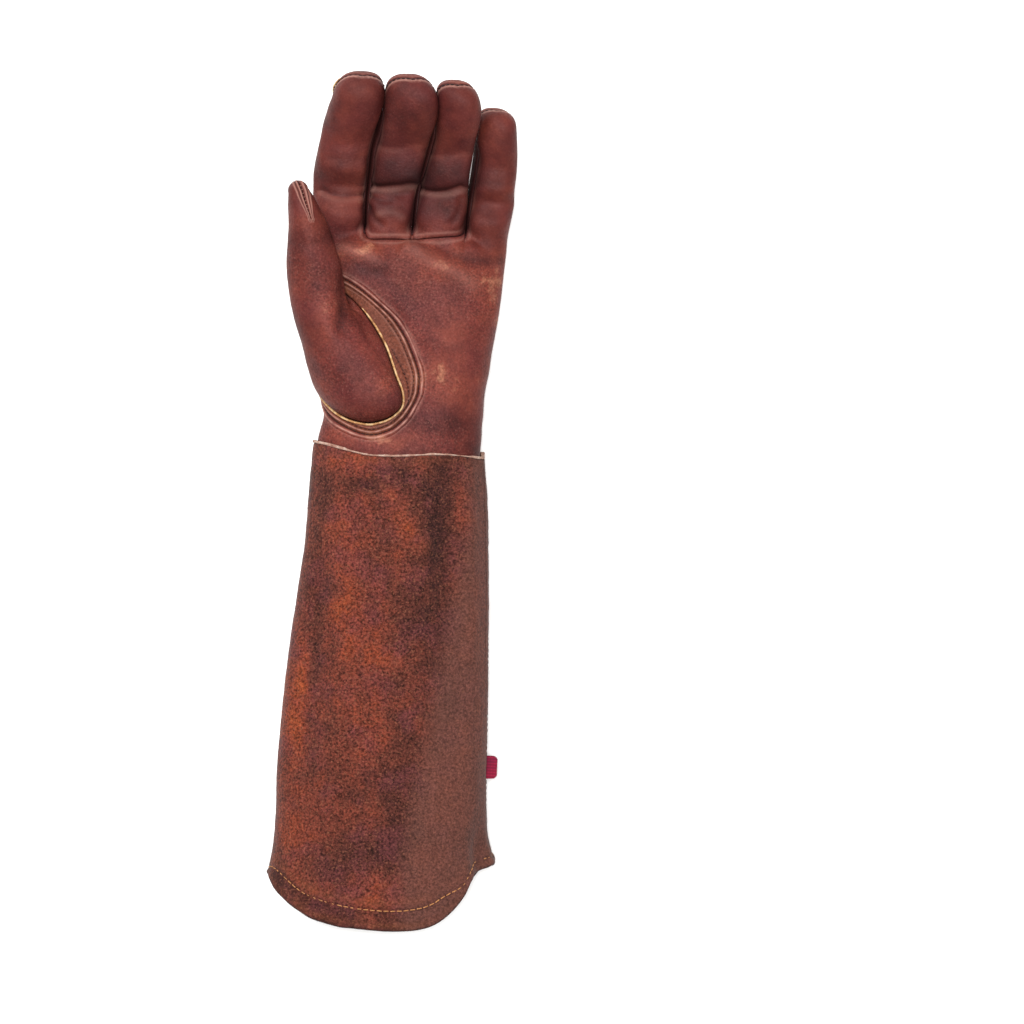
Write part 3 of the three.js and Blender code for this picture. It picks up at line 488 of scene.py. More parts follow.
def tube(path: Array, radius: Array | float, sides: int = 10) -> Sheet:
    """A closed round bar along a line of points.

    Args:
        path: the points.
        radius: one for all, or one for each point.
        sides: of its section.

    Returns:
        The bar.
    """
    ahead = unit(np.gradient(path, axis=0))
    across = unit(np.cross(ahead, np.array((0.0, 0.0, 1.0)) + 0.001))
    for i in range(1, len(path)):
        last = across[i - 1] - ahead[i] * (across[i - 1] @ ahead[i])
        across[i] = last / np.linalg.norm(last)
    up = np.cross(across, ahead)
    turn = np.radians(np.linspace(0, 360, sides + 1))[None, :, None]
    size = (np.zeros(len(path)) + radius)[:, None, None]
    rings = path[:, None] + size * (np.cos(turn) * across[:, None] + np.sin(turn) * up[:, None])
    start = np.repeat(path[:1, None] - ahead[:1, None] * size[0] * 0.4, sides + 1, axis=1)
    end = np.repeat(path[-1:, None] + ahead[-1:, None] * size[-1] * 0.4, sides + 1, axis=1)
    return Sheet.joined(Sheet.grid(np.concatenate([start, rings, end])))


# Places of creases and of darker and lighter leather, in millimetres from the wrist seam's middle

# Creases and, with depth below 0, ridges: three points, depth, width, and how far the leather above
# hangs over, which is also how far the shade painted above the crease reaches
HAND_CREASES: Rows = (
    (-46.5, 136.2, -35.7, 133.4, -23.4, 135.4, 1.4, 1.6, 5.0),  # bend of the index
    (-42.8, 152.9, -34.9, 151.7, -25.5, 153.7, 0.4, 2.4, 0.0),
    (-41.8, 128.4, -31.2, 126.8, -22.9, 129.2, 0.35, 2.0, 0.0),
    (-22.4, 140.2, -9.8, 139.8, 1.4, 142.2, 1.4, 1.7, 6.0),  # bend of the middle finger
    (-17.6, 137.0, -9.6, 135.2, -2.4, 137.2, 0.6, 1.7, 0.0),
    (-15.6, 124.6, -9.4, 125.8, -4.4, 123.6, -0.7, 2.2, 0.0),
    (-21.4, 135.0, -16.1, 132.4, -9.9, 132.3, 0.8, 1.3, 0.0),
    (-21.0, 128.2, -17.8, 122.6, -13.6, 119.0, 0.8, 1.4, 0.0),
    (-17.4, 161.3, -7.4, 160.0, 2.5, 162.0, 0.3, 3.0, 6.0),
    (5.0, 139.8, 16.2, 138.2, 26.9, 141.4, 1.4, 1.7, 6.0),  # bend of the ring finger
    (6.3, 158.8, 16.3, 157.3, 27.2, 159.3, 0.25, 3.0, 5.0),
    (26.7, 134.7, 26.4, 128.9, 23.0, 122.5, 0.8, 1.4, 0.0),
    (36.7, 144.6, 46.8, 143.0, 55.7, 144.5, 0.4, 2.4, 0.0),  # bend of the little finger
    (36.0, 128.8, 45.0, 127.1, 53.8, 128.6, 0.4, 2.8, 0.0),
    (17.0, 109.5, 30.4, 103.4, 49.8, 103.4, 1.1, 3.4, 0.0),  # fold below the little finger
    (1.2, 108.8, 17.9, 99.0, 36.7, 89.7, -0.9, 4.0, 0.0),
    (-34.3, 106.0, -27.4, 103.7, -17.3, 101.1, -0.9, 3.6, 0.0),  # ridge and hollow below the index
    (-31.9, 97.4, -24.4, 95.1, -13.8, 92.9, 0.8, 3.6, 0.0),
    (-15.7, 88.5, -7.1, 84.7, 2.8, 74.7, 0.9, 8.0, 0.0),
    (10.8, 15.2, 24.1, 12.7, 38.2, 14.9, 0.5, 4.5, 0.0),  # along the wrist
    (14.0, 60.0, 24.0, 55.0, 37.0, 57.0, 0.35, 3.0, 0.0),
    (8.0, 46.0, 20.0, 38.0, 36.0, 40.0, 0.3, 3.0, 0.0),
)
THUMB_CREASES: Rows = (
    (-29.4, 91.5, -31.0, 77.5, -31.6, 64.6, 2.0, 3.6, 0.0),  # valley between thumb and root
    (-33.6, 62.6, -29.8, 59.4, -26.4, 57.4, 0.6, 1.2, 0.0),
    (-34.6, 60.0, -31.6, 57.6, -29.4, 54.4, 0.3, 1.2, 0.0),
    (-57.0, 108.0, -50.0, 105.0, -43.0, 108.0, 0.3, 2.5, 0.0),
    (-47.0, 44.0, -41.0, 36.0, -33.0, 31.0, 0.35, 3.0, 0.0),
)
CUFF_CREASES: Rows = (
    (-20.2, -17.4, -11.7, -19.9, -2.3, -19.5, 1.2, 3.2, 0.0),
    (22.4, -8.4, 26.3, -55.4, 27.9, -112.6, 1.3, 6.0, 0.0),
    (38.0, -12.0, 40.5, -50.0, 43.0, -105.0, -0.8, 4.0, 0.0),
    (-39.3, -58.5, -33.1, -100.3, -33.0, -147.5, 0.9, 6.0, 0.0),
    (-6.0, -20.0, 6.0, -36.0, 17.0, -50.0, -0.9, 4.5, 0.0),
    (-12.0, -120.0, 2.0, -128.0, 16.0, -126.0, 0.4, 6.0, 0.0),
    (-38.0, -176.0, -30.0, -182.0, -20.0, -183.0, 0.6, 4.0, 0.0),
    (8.0, -196.0, 16.0, -206.0, 30.0, -211.0, 0.6, 5.0, 0.0),
)

# Lighter, browner (above 0) and darker leather, partly its own colour and partly painted shade and
# highlight
# on pads, hollows and bends: place, spread and amount
LEATHER_TONES: Rows = (
    (-4.1, 106.5, 30.0, 6.5, 0.3),
    (-27.0, 103.5, 13.0, 5.0, 0.62),
    (24.0, 96.5, 18.0, 6.5, 0.4),
    (24.3, 65.2, 16.0, 22.0, 0.05),
    (12.4, 38.4, 11.0, 14.0, 0.3),
    (-12.5, 5.0, 26.0, 6.0, 1.0),
    (-41.4, 177.6, 16.0, 26.0, -0.35),
    (-7.1, 174.0, 14.0, 20.0, -0.25),
    (16.6, 172.5, 14.0, 20.0, -0.2),
    (-8.0, 148.5, 14.0, 9.0, -1.0),
    (17.0, 148.5, 13.0, 9.0, -0.85),
    (45.8, 166.0, 12.0, 24.0, -0.1),
    (46.0, 138.0, 11.0, 16.0, -0.4),
    (-9.5, 121.0, 7.0, 4.0, 0.3),
    (17.5, 120.0, 7.5, 4.5, 0.3),
    (-10.0, 127.0, 12.0, 9.0, -0.8),
    (17.2, 127.0, 12.0, 9.0, -0.5),
    (-41.5, 67.4, 6.0, 12.0, 0.6),
    (-19.0, 34.0, 16.0, 14.0, -0.45),
    (20.9, 18.2, 18.0, 10.0, -0.9),
    (38.0, 102.5, 13.0, 4.0, -0.4),
    (-22.0, 94.0, 11.0, 4.5, -0.3),
    (-36.0, 114.0, 7.0, 5.0, -0.8),
)
# Lighter and darker suede, partly its own blotches and partly painted shade along folds and dents: place,
# spread and amount
SUEDE_TONES: Rows = (
    (21.0, -30.0, 8.0, 34.0, -1.1),
    (22.0, -72.0, 8.0, 34.0, -0.25),
    (14.0, -100.0, 10.0, 34.0, -0.3),
    (-37.1, -22.0, 7.0, 12.0, -0.7),
    (-38.3, -48.5, 7.0, 16.0, -0.6),
    (-25.1, -57.9, 9.0, 14.0, 0.5),
    (-21.3, -88.0, 12.0, 20.0, 0.45),
    (-3.3, -21.0, 5.0, 7.0, 0.9),
    (2.4, -31.0, 5.0, 7.0, 0.6),
    (9.2, -40.5, 5.0, 7.0, 0.75),
    (16.0, -48.0, 4.0, 5.0, 0.6),
    (-26.0, -7.0, 18.0, 6.0, 0.7),
    (-15.0, -18.5, 9.0, 3.5, -0.9),
    (2.0, -13.0, 7.0, 7.0, -0.6),
    (-45.3, -132.3, 5.0, 40.0, 0.45),
    (-37.8, -118.0, 4.0, 26.0, -0.6),
    (-18.8, -192.0, 16.0, 10.0, 0.3),
    (-48.0, -205.0, 6.0, 14.0, 0.6),
    (-4.2, -214.0, 20.0, 10.0, -1.0),
    (13.0, -180.0, 11.0, 26.0, -1.1),
    (8.6, -140.0, 9.0, 26.0, -0.2),
    (45.6, -75.5, 4.0, 30.0, 0.7),
    (-14.0, -146.0, 12.0, 24.0, 0.2),
)


def press(points: Array, normals: Array, creases: tuple, face: Face) -> tuple[Array, Array, Array]:
    """Creases pressed into one face of the glove.

    Args:
        points: places of the leather.
        normals: outward directions there.
        creases: rows of three points, depth, width and overhang.
        face: the face that they are on.

    Returns:
        How far the leather rises, the shade painted into its creases, and the highlight painted on their
        lips and on ridges.
    """
    up = ease(face * normals[:, 2] * 2.5)
    rise, dark, worn_and_highlit = (np.zeros(len(points)) for _ in range(3))
    u = np.linspace(0, 1, 9)[:, None]
    for row in creases:
        start, middle, end = np.array(row[:6]).reshape(3, 2)
        depth, width, hang = row[6:]
        bend = 2 * middle - (start + end) / 2
        line = (1 - u) ** 2 * start + 2 * u * (1 - u) * bend + u**2 * end
        distance = line_distance(points[:, :2], line)
        depth = depth * (0.85 + 0.35 * LEATHER_NOISE.at(points, 8.0))
        groove = depth * bell(distance / width)
        if hang:
            beyond = points[:, 1] - np.interp(points[:, 0], line[:, 0], line[:, 1])
            above = ease(beyond / 1.0 + 0.5)
            rise += up * (0.5 * depth * above * bell((distance - 2.8) / 2.6) - groove)
            rise += up * 0.12 * depth * (1 - above) * bell((distance - 3.2) / 2.8)
            # Painted shade over the leather that hangs above the bend, and painted highlight on the pad top
            # below it.
            dark += up * above * 0.62 * np.minimum(depth, 1.0) * np.exp(-distance / hang)
            worn_and_highlit += up * (1 - above) * 0.2 * np.minimum(depth, 1.0) * bell((distance - 1.8) / 1.5)
        else:
            rise += up * (0.4 * depth * bell((distance - 2.2 * width) / width) - groove)
            # Painted shade in the groove; painted highlight on top of a ridge.
            dark += up * np.maximum(depth, 0) * 0.42 * min(1, 3 / width) * bell(distance / (0.8 * width))
            worn_and_highlit += up * np.maximum(-depth, 0) * 0.2 * bell(distance / width)
    return rise, np.clip(dark, 0, 1), np.clip(worn_and_highlit, 0, 1)


def toned(points: Array, tones: tuple) -> Array:
    """Darker and lighter places: the leather's own colour, and painted shade and highlight.

    Args:
        points: places of the leather.
        tones: rows of place, spread and amount.

    Returns:
        Their sum at each point, between -1 and 1.
    """
    total = np.zeros(len(points))
    for x, y, wide, long, amount in tones:
        total += amount * bell((points[:, 0] - x) / wide) * bell((points[:, 1] - y) / long)
    return np.clip(total, -1, 1)


# The hand


@dataclass(frozen=True)
class HandShape:
    """The hand's skin between cuff and webs, in millimetres and degrees."""

    length: float = 115.5
    width: float = 101.0
    depth: float = 36.0
    piped_seam: float = 215.0
    side_seam: float = -8.0
    outline: Table = Table(
        ("along", "thumb", "little", "palm", "back"),
        (
            (-0.14, -0.405, 0.415, 1.33, 0.06),
            (0.0, -0.425, 0.428, 1.36, 0.09),
            (0.06, -0.42, 0.432, 1.35, 0.09),
            (0.15, -0.4, 0.434, 1.32, 0.07),
            (0.26, -0.425, 0.44, 1.28, 0.03),
            (0.42, -0.437, 0.46, 1.2, -0.04),
            (0.56, -0.434, 0.479, 1.12, -0.07),
            (0.7, -0.438, 0.498, 1.06, -0.08),
            (0.86, -0.468, 0.511, 1.0, -0.06),
            (1.0, -0.48, 0.522, 0.95, -0.02),
            (1.2, -0.49, 0.53, 0.9, 0.02),
        ),
    )
    # pads and hollows: across, along, rise, wide, long, face
    relief: Rows = (
        (0.1, 0.6, -0.11, 0.2, 0.24, 1),
        (0.33, 0.34, 0.06, 0.16, 0.3, 1),
        (-0.33, 0.84, 0.05, 0.12, 0.1, 1),
        (0.22, 0.86, 0.05, 0.2, 0.09, 1),
        (0.035, 0.972, -0.05, 0.26, 0.03, 1),
        (-0.22, 0.3, -0.05, 0.045, 0.26, -1),
        (-0.02, 0.34, -0.06, 0.045, 0.3, -1),
        (0.16, 0.36, -0.06, 0.045, 0.3, -1),
        (0.33, 0.33, -0.05, 0.045, 0.28, -1),
    )

    def section(self, y: Array | float) -> tuple[Array, Array, Array, Array]:
        """The hand's section.

        Args:
            y: distances from the wrist seam.

        Returns:
            Centre across, centre up, half width and half depth.
        """
        along = np.asarray(y, float) / self.length
        left, right = (self.outline.read(c, along) * self.width for c in ("thumb", "little"))
        top, bottom = (self.outline.read(c, along) * self.depth for c in ("palm", "back"))
        return (left + right) / 2, (top + bottom) / 2, (right - left) / 2, (top - bottom) / 2

    def skin(self, y: Array | float, angle: Array | float) -> Array:
        """Outside of the hand.

        Args:
            y: distances from the wrist seam.
            angle: angles round the section.

        Returns:
            The points.
        """
        y, angle = paired(y, angle)
        centre, middle, a, b = self.section(y)
        across, up = oval(angle)
        x, z = centre + a * across, middle + b * up
        along = y / self.length
        for place, at, rise, wide, long, face in self.relief:
            share = bell((x / self.width - place) / wide)
            share = share * bell((along - at) * self.length / (long * self.width))
            z = z + rise * face * self.depth * share * ease(face * up * 2) * ease(along * 6)
        return stack(x, y, z)

    def normal(self, y: Array | float, angle: Array | float) -> Array:
        """Outward directions of the hand's skin.

        Args:
            y: distances from the wrist seam.
            angle: angles round the section.

        Returns:
            The directions.
        """
        d = 0.4
        y, angle = paired(y, angle)
        around = self.skin(y, angle + d) - self.skin(y, angle - d)
        along = self.skin(y + d, angle) - self.skin(y - d, angle)
        return unit(np.cross(along, around))

    def angle_at(self, x: Array, y: Array, face: Face) -> Array:
        """Angles round the section where one face has given places across.

        Args:
            x: places across, falling as the angle on the palm rises.
            y: distances from the wrist seam, one for each.
            face: palm or back.

        Returns:
            The angles.
        """
        angles = np.linspace(*((20, 160) if face > 0 else (200, 340)), 141)
        found = []
        for one_x, one_y in zip(x, y):
            line = self.skin(one_y, angles)[:, 0]
            order = np.argsort(line)
            found.append(np.interp(one_x, line[order], angles[order]))
        return np.array(found)


HAND = HandShape()

FINGER_LENGTH, FINGER_DEPTH, FINGER_GAP, FINGER_LEAN = 88.0, 24.0, 0.5, 3.2
# angles of the side strips' two seams, and at the tip
FORK_FRONT, FORK_BACK, FORK_TIP = 20.0, 42.0, 14.0
FORK_NARROWS, FORK_END = 0.62, 0.87  # shares of the finger's length
FIRST_JOINT, SECOND_JOINT, JOINT_SOFTNESS = 0.28, 0.58, 9.0  # two shares, and millimetres
TIP_ROUND, TIP_REACH = 2.5, 0.92  # power of the tip's curve, and its reach in half widths
PIPED_FINGER, PIPED_TIP = 228.0, 194.0  # angles of the welted seam along the index finger
BLEND, WEB_BLEND, FORK_BLEND = 20.0, 9.0, 4.0  # over which the skins of hand and finger merge
WEB_DEPTH, VALLEY, PALM_VALLEY = 0.17, 16.0, 5.0  # dips at the webs: a share, and two widths
BASE_SEAM = -3.2  # the seam across the bases of the middle and ring fingers
CUFF_OVERLAP = 14.0  # how far the hand goes into the cuff

# the lines between the fingers and the open gaps there, as shares of the palm's width
FINGER_LINES = Table(
    ("reach", "l0", "l1", "l2", "l3", "l4", "g1", "g2", "g3"),
    (
        (0.0, -0.478, -0.23, 0.02, 0.3, 0.522, 0, 0, 0),
        (0.14, -0.508, -0.233, 0.019, 0.299, 0.538, 0, 0, 0),
        (0.28, -0.516, -0.23, 0.026, 0.304, 0.543, 0, 0, 0.006),
        (0.4, -0.514, -0.222, 0.048, 0.311, 0.549, 0, 0, 0.014),
        (0.53, -0.494, -0.212, 0.074, 0.321, 0.549, 0, 0, 0.012),
        (0.67, -0.473, -0.186, 0.099, 0.327, 0.54, 0.003, 0, 0.004),
        (0.82, -0.44, -0.16, 0.121, 0.341, 0.526, 0.006, 0, 0),
        (1.0, -0.4, -0.142, 0.118, 0.335, 0.5, 0, 0, 0),
    ),
)
# seam across the bases of the middle and ring fingers
SEAM_LINE = Table(
    ("across", "place"),
    (
        (-23.4, 115.6), (-22.9, 113.9), (-21.6, 112.6), (-19.6, 111.9),
        (-17.0, 111.7), (2.3, 112.8), (14.0, 114.0), (21.9, 115.1),
        (26.4, 116.0), (28.8, 117.2), (30.1, 119.0),
    ),
)
# length and lean as shares, and the three slopes in degrees, of each finger
FINGERS = (
    (1.02, 0.1, 7, 24, 35),
    (1.03, 1.0, 9, 27, 37),
    (1.0, 1.0, 9, 27, 36),
    (0.8, 1.0, 6, 17, 24),
)
FINGER_PROFILE = Table(
    ("reach", "depth", "swell"),
    (
        (0.0, 1.04, 0.03),
        (0.14, 1.04, 0.07),
        (0.28, 1.0, -0.09),
        (0.42, 0.98, 0.04),
        (0.58, 0.95, -0.05),
        (0.78, 0.95, 0.03),
        (1.0, 0.88, 0.0),
    ),
)


@dataclass
class Finger:
    """One finger's skin beyond the web.

    Attributes:
        index: 0 for the index finger to 3 for the little one.
    """

    index: int

    def __post_init__(self) -> None:
        """Lays out the centre line."""
        share, self.lean, *self.curls = FINGERS[self.index]
        self.length = share * FINGER_LENGTH
        slope = self.slope(np.arange(math.ceil(self.length)) + 0.5)
        start = HAND.section(HAND.length)[1]
        self.path_y = HAND.length + np.concatenate([[0], np.cumsum(np.cos(slope))])
        self.path_z = start + np.concatenate([[0], np.cumsum(np.sin(slope))])
        left, right = self.sides(np.array(self.length))
        self.cap = TIP_REACH * (right - left) / 2

    def slope(self, s: Array) -> Array:
        """Slope of the centre line towards the palm.

        Args:
            s: distances from the web.

        Returns:
            The slopes in radians.
        """
        base, middle, tip = self.curls
        first = ease((s - FIRST_JOINT * self.length) / (2 * JOINT_SOFTNESS) + 0.5)
        second = ease((s - SECOND_JOINT * self.length) / (2 * JOINT_SOFTNESS) + 0.5)
        return np.radians(base + (middle - base) * first + (tip - middle) * second)

    def sides(self, s: Array) -> tuple[Array, Array]:
        """The finger's two sides.

        Args:
            s: distances from the web.

        Returns:
            Their places across the palm.
        """
        reach = np.maximum(s, 0) / FINGER_LENGTH
        places = []
        for line, sign in ((self.index, 1), (self.index + 1, -1)):
            open_gap = FINGER_LINES.read(f"g{line}", reach) * HAND.width if 0 < line < 4 else 0
            middle = FINGER_LINES.read(f"l{line}", reach) * HAND.width
            places.append(middle + sign * (open_gap + FINGER_GAP) / 2)
        return places[0], places[1]

    def seams(self, s: Array) -> tuple[Array, Array]:
        """Angles of a side strip's front and back seams, which meet near the tip."""
        taper = ease((s / self.length - FORK_NARROWS) / (FORK_END - FORK_NARROWS))
        return mix(FORK_FRONT, -FORK_TIP, taper), mix(FORK_BACK, FORK_TIP, taper)

    def skin(self, s: Array, angle: Array) -> Array:
        """Outside of the finger.

        Args:
            s: distances beyond the web.
            angle: angles round the section.

        Returns:
            The points.
        """
        s, angle = paired(s, angle)
        own = np.maximum(s, 0) / self.length
        i = np.clip(np.floor(s).astype(int), 0, len(self.path_y) - 2)
        end = np.maximum(0, (s - self.length + self.cap) / self.cap)
        size = np.maximum(0, 1 - end**TIP_ROUND) ** (1 / TIP_ROUND)
        left, right = self.sides(s)
        across, up = oval(angle)
        b = FINGER_PROFILE.read("depth", own) * FINGER_DEPTH * size / 2
        swell = FINGER_PROFILE.read("swell", own) * FINGER_DEPTH * size
        lean = FINGER_LEAN * self.lean * size * ease(own / FIRST_JOINT)
        height = b * up + swell * ease(up * 2 - 0.4)
        slope = self.slope(s)
        return stack(
            (left + right) / 2 + (right - left) / 2 * size * across + lean * up,
            mix(self.path_y[i], self.path_y[i + 1], s - i) - height * np.sin(slope),
            mix(self.path_z[i], self.path_z[i + 1], s - i) + height * np.cos(slope),
        )

    def tip_rows(self, step: float) -> Array:
        """Rows of points up to the tip, closer where it rounds.

        Args:
            step: spacing on the straight part.

        Returns:
            Distances from the web.
        """
        turn = np.linspace(0, math.pi / 2, 15)
        cap = self.length - self.cap + self.cap * np.sin(turn) ** (2 / TIP_ROUND)
        return np.concatenate([spread(3.0, self.length - self.cap, step), cap[1:]])


@dataclass
class HandSkin:
    """The sewn skin of hand and fingers, cut into strips."""

    corner: float = 6.0  # width of the rounded corners of the seam below the middle fingers

    def __post_init__(self) -> None:
        """Makes the fingers and the angles at which their strips begin."""
        self.fingers = [Finger(i) for i in range(4)]
        first = [float(FINGER_LINES.read(f"l{i}", 0.0)) for i in range(5)]
        shares = [(line - first[0]) / (first[4] - first[0]) for line in first[1:4]]
        self.limits = {
            face: [HAND.piped_seam, *(angle_across(s, face) for s in shares), end]
            for face, end in ((Face.PALM, HAND.side_seam), (Face.BACK, 360 + HAND.side_seam))
        }

    def strip(self, index: int, face: Face, v: Array | float, t: Array | float) -> Array:
        """Skin of one finger's strip on the palm or the back.

        Args:
            index: the finger.
            face: palm or back.
            v: distances beyond the web, below 0 on the hand.
            t: 0 on the thumb side to 1 on the little-finger side.

        Returns:
            The points.
        """
        v, t = paired(v, t)
        finger = self.fingers[index]
        limits = self.limits[face]
        hand = HAND.skin(HAND.length + v, mix(limits[index], limits[index + 1], t))
        from_left = 1.0 if index == 0 else t
        from_right = 1.0 if index == 3 else 1 - t
        free = np.sin(math.pi / 2 * np.minimum(1, 2 * np.minimum(from_left, from_right)))
        fade = np.where((face > 0) & (v < 0), PALM_VALLEY, VALLEY)
        valley = WEB_DEPTH * HAND.depth * bell(v / fade) * (1 - free) ** 2
        hand[..., 2] -= face * valley
        weight = ease((v + BLEND * free) / (WEB_BLEND + BLEND * free))[..., None]
        fork = finger.seams(v)[0 if face > 0 else 1]
        piped = mix(PIPED_FINGER, PIPED_TIP, ease((v / finger.length - 0.74) / 0.2))
        left = piped if index == 0 else 180 - face * fork
        right = HAND.side_seam if index == 3 else face * fork
        if face < 0:
            right = right + 360
        skin = mix(hand, finger.skin(v, mix(left, right, t)), weight)
        skin[..., 2] = on_floor(skin[..., 2])
        return skin

    def fork(self, index: int, side: Side, v: Array, q: Array) -> Array:
        """Skin of the strip on a finger's side.

        Args:
            index: the finger.
            side: the side of it.
            v: distances beyond the web.
            q: 0 at the palm to 1 at the back.

        Returns:
            The points.
        """
        v, q = paired(v, q)
        finger = self.fingers[index]
        t = 1.0 if side > 0 else 0.0
        wall = mix(self.strip(index, Face.PALM, v, t), self.strip(index, Face.BACK, v, t), q[..., None])
        front, back = finger.seams(v)
        turn = mix(front, -back, q)
        around = finger.skin(v, turn if side > 0 else 180 - turn)
        share = ease(v / FORK_BLEND) * ((q > 0) & (q < 1))
        return mix(wall, around, share[..., None])

    def seam_lift(self, index: int, t: Array) -> Array:
        """What bends a row of points so that the seam runs as the table says.

        Args:
            index: the finger.
            t: 0 on its thumb side to 1 on its little-finger side.

        Returns:
            How far the row is shifted.
        """
        end = {0: 1.0, 3: 0.0}.get(index)
        natural = self.strip(index, Face.PALM, BASE_SEAM, t if end is None else np.array(end))
        lift = SEAM_LINE.read("place", natural[..., 0]) - natural[..., 1]
        if end is None:
            return lift
        return lift * (1 - np.clip(np.abs(end - t) * HAND.width / 4 / self.corner, 0, 1)) ** 2

    def sheet(self, index: int, face: Face, rows: Array) -> Sheet:
        """One finger's strip between given rows, with its marks.

        Args:
            index: the finger.
            face: palm or back.
            rows: distances beyond the web.

        Returns:
            The strip; its marks say where shade is painted beside the gap to its neighbour and where its
            pads bulge.
        """
        wide = {(0, Face.PALM): 54.0, (0, Face.BACK): 22.0}.get((index, face), 28.0)
        v, t = np.meshgrid(rows, seamed(wide, GRAIN_STEP), indexing="ij")
        if face > 0:
            beside = np.where(v < BASE_SEAM, 1 - (BASE_SEAM - v) / 9, 1 - (v - BASE_SEAM) / 9.5)
            v = v + self.seam_lift(index, t) * np.clip(beside, 0, 1)
        limits = self.limits[face]
        angle = mix(limits[index], limits[index + 1], t)
        gap = np.minimum(t if index > 0 else 1 + 0 * t, 1 - t if index < 3 else 1 + 0 * t) * wide
        reach = v / self.fingers[index].length
        free = ease(v / 10) * (1 - ease((reach - 0.84) / 0.1))
        # Where shade is painted into the crevice beside the next finger.
        crevice = bell(gap / 5.0) * ease((v + 1) / 5) * (1 - 0.7 * ease((reach - 0.86) / 0.1))
        tip = ease((reach - 0.8) / 0.12)
        marks = dict(crevice=crevice, shoulder=bell((gap - 5.5) / 3.4) * free, tip=tip)
        return Sheet.grid(self.strip(index, face, v, t), face < 0, v=v, angle=angle, **marks)

    def fork_sheet(self, index: int, side: Side) -> Sheet:
        """The strip on one side of a finger, from the web to where it ends in a point.

        Args:
            index: the finger.
            side: the side of it.

        Returns:
            The strip.
        """
        finger = self.fingers[index]
        rows = np.concatenate([[0, 0.4, 0.9, 1.5, 2.2], spread(3.0, FORK_END * finger.length, 1.4)])
        v, q = np.meshgrid(rows, seamed(18.0, 1.4), indexing="ij")
        return Sheet.grid(self.fork(index, side, v, q), side < 0, v=v)


SKIN = HandSkin()


# Materials

Feed = object  # a node's output, or a number or colour set on the input itself


class Nodes:
    """Nodes and links of one tree."""

    tree: bpy.types.NodeTree

    def node(self, kind: str, inputs: dict | None = None, **settings: object) -> bpy.types.Node:
        """Adds a node.

        Args:
            kind: the node's type.
            inputs: what goes into its sockets, by name or number.
            settings: its own properties.

        Returns:
            The node.
        """
        node = self.tree.nodes.new(kind)
        for key, value in settings.items():
            setattr(node, key, value)
        for key, value in (inputs or {}).items():
            if isinstance(value, bpy.types.NodeSocket):
                self.tree.links.new(value, node.inputs[key])
            else:
                node.inputs[key].default_value = value
        return node

    def out(self, kind: str, inputs: dict | None = None, **settings: object) -> bpy.types.NodeSocket:
        """First output of a new node."""
        return self.node(kind, inputs, **settings).outputs[0]

    def math(self, operation: str, a: Feed, b: Feed = 0.0, clamp: bool = False) -> Feed:
        """A sum, product or other operation."""
        return self.out("ShaderNodeMath", {0: a, 1: b}, operation=operation, use_clamp=clamp)


class Graph(Nodes):
    """The nodes of one material."""

    def __init__(self, name: str) -> None:
        """Starts an empty material.

        Args:
            name: of the material.
        """
        self.material = bpy.data.materials.new(name)
        self.material.use_nodes = True
        self.tree = self.material.node_tree
        self.tree.nodes.clear()
        self.place = self.node("ShaderNodeTexCoord").outputs["Object"]

    def stretched(self, scale: tuple[float, float, float]) -> bpy.types.NodeSocket:
        """The place on the object, stretched along its axes."""
        return self.out("ShaderNodeMapping", {"Vector": self.place, "Scale": scale})

    def noise(self, size: float, detail: float = 2.0, rough: float = 0.5, place: Feed = None) -> Feed:
        """Noise of a given size.

        Args:
            size: width of its humps in millimetres.
            detail: how many finer layers it has.
            rough: how strong those are.
            place: where it is read, or the object's own place.

        Returns:
            Values round 0.5.
        """
        inputs = {"Vector": place or self.place, "Scale": 1 / (size * MM), "Detail": detail}
        return self.out("ShaderNodeTexNoise", inputs | {"Roughness": rough})

    def remap(self, value: Feed, low: float, high: float, least: float = 0.0, most: float = 1.0) -> Feed:
        """A value spread from one range over another, and held inside it."""
        return self.out("ShaderNodeMapRange", {0: value, 1: low, 2: high, 3: least, 4: most})

    def blend(self, share: Feed, a: Feed, b: Feed, how: str = "MIX") -> Feed:
        """Two colours mixed."""
        node = self.node("ShaderNodeMix", {0: share, 6: a, 7: b}, data_type="RGBA", blend_type=how)
        return node.outputs[2]

    def mark(self, name: str) -> Feed:
        """A value that the mesh carries."""
        return self.node("ShaderNodeAttribute", attribute_name=name).outputs["Fac"]

    def marked(self, color: Feed, name: str, strength: float, code: str) -> Feed:
        """A colour tinted where the mesh carries a mark."""
        return self.blend(self.math("MULTIPLY", self.mark(name), strength, True), color, srgb(code))

    def mottled(self, color: Feed, value: Feed, low: float, high: float, dark: float, light: float) -> Feed:
        """A colour darkened and lightened by a value between two limits."""
        return self.blend(1.0, color, self.remap(value, low, high, dark, light), "MULTIPLY")

    def ramp(self, value: Feed, stops: tuple[tuple[float, str], ...]) -> Feed:
        """Colours along a value.

        Args:
            value: from 0 to 1.
            stops: places and screen colours.

        Returns:
            The colour.
        """
        node = self.node("ShaderNodeValToRGB", {0: value})
        elements = node.color_ramp.elements
        while len(elements) < len(stops):
            elements.new(1.0)
        for element, (place, code) in zip(elements, stops):
            element.position = place
            element.color = srgb(code)
        return node.outputs[0]

    def bump(self, height: Feed, distance: float, strength: float = 1.0, under: Feed = None) -> Feed:
        """A surface direction bent by a height.

        Args:
            height: from 0 to 1.
            distance: what 1 stands for, in millimetres.
            strength: of the effect.
            under: another such direction that it bends further.

        Returns:
            The direction.
        """
        inputs = {"Height": height, "Distance": distance * MM, "Strength": strength}
        if under is not None:
            inputs["Normal"] = under
        return self.out("ShaderNodeBump", inputs)


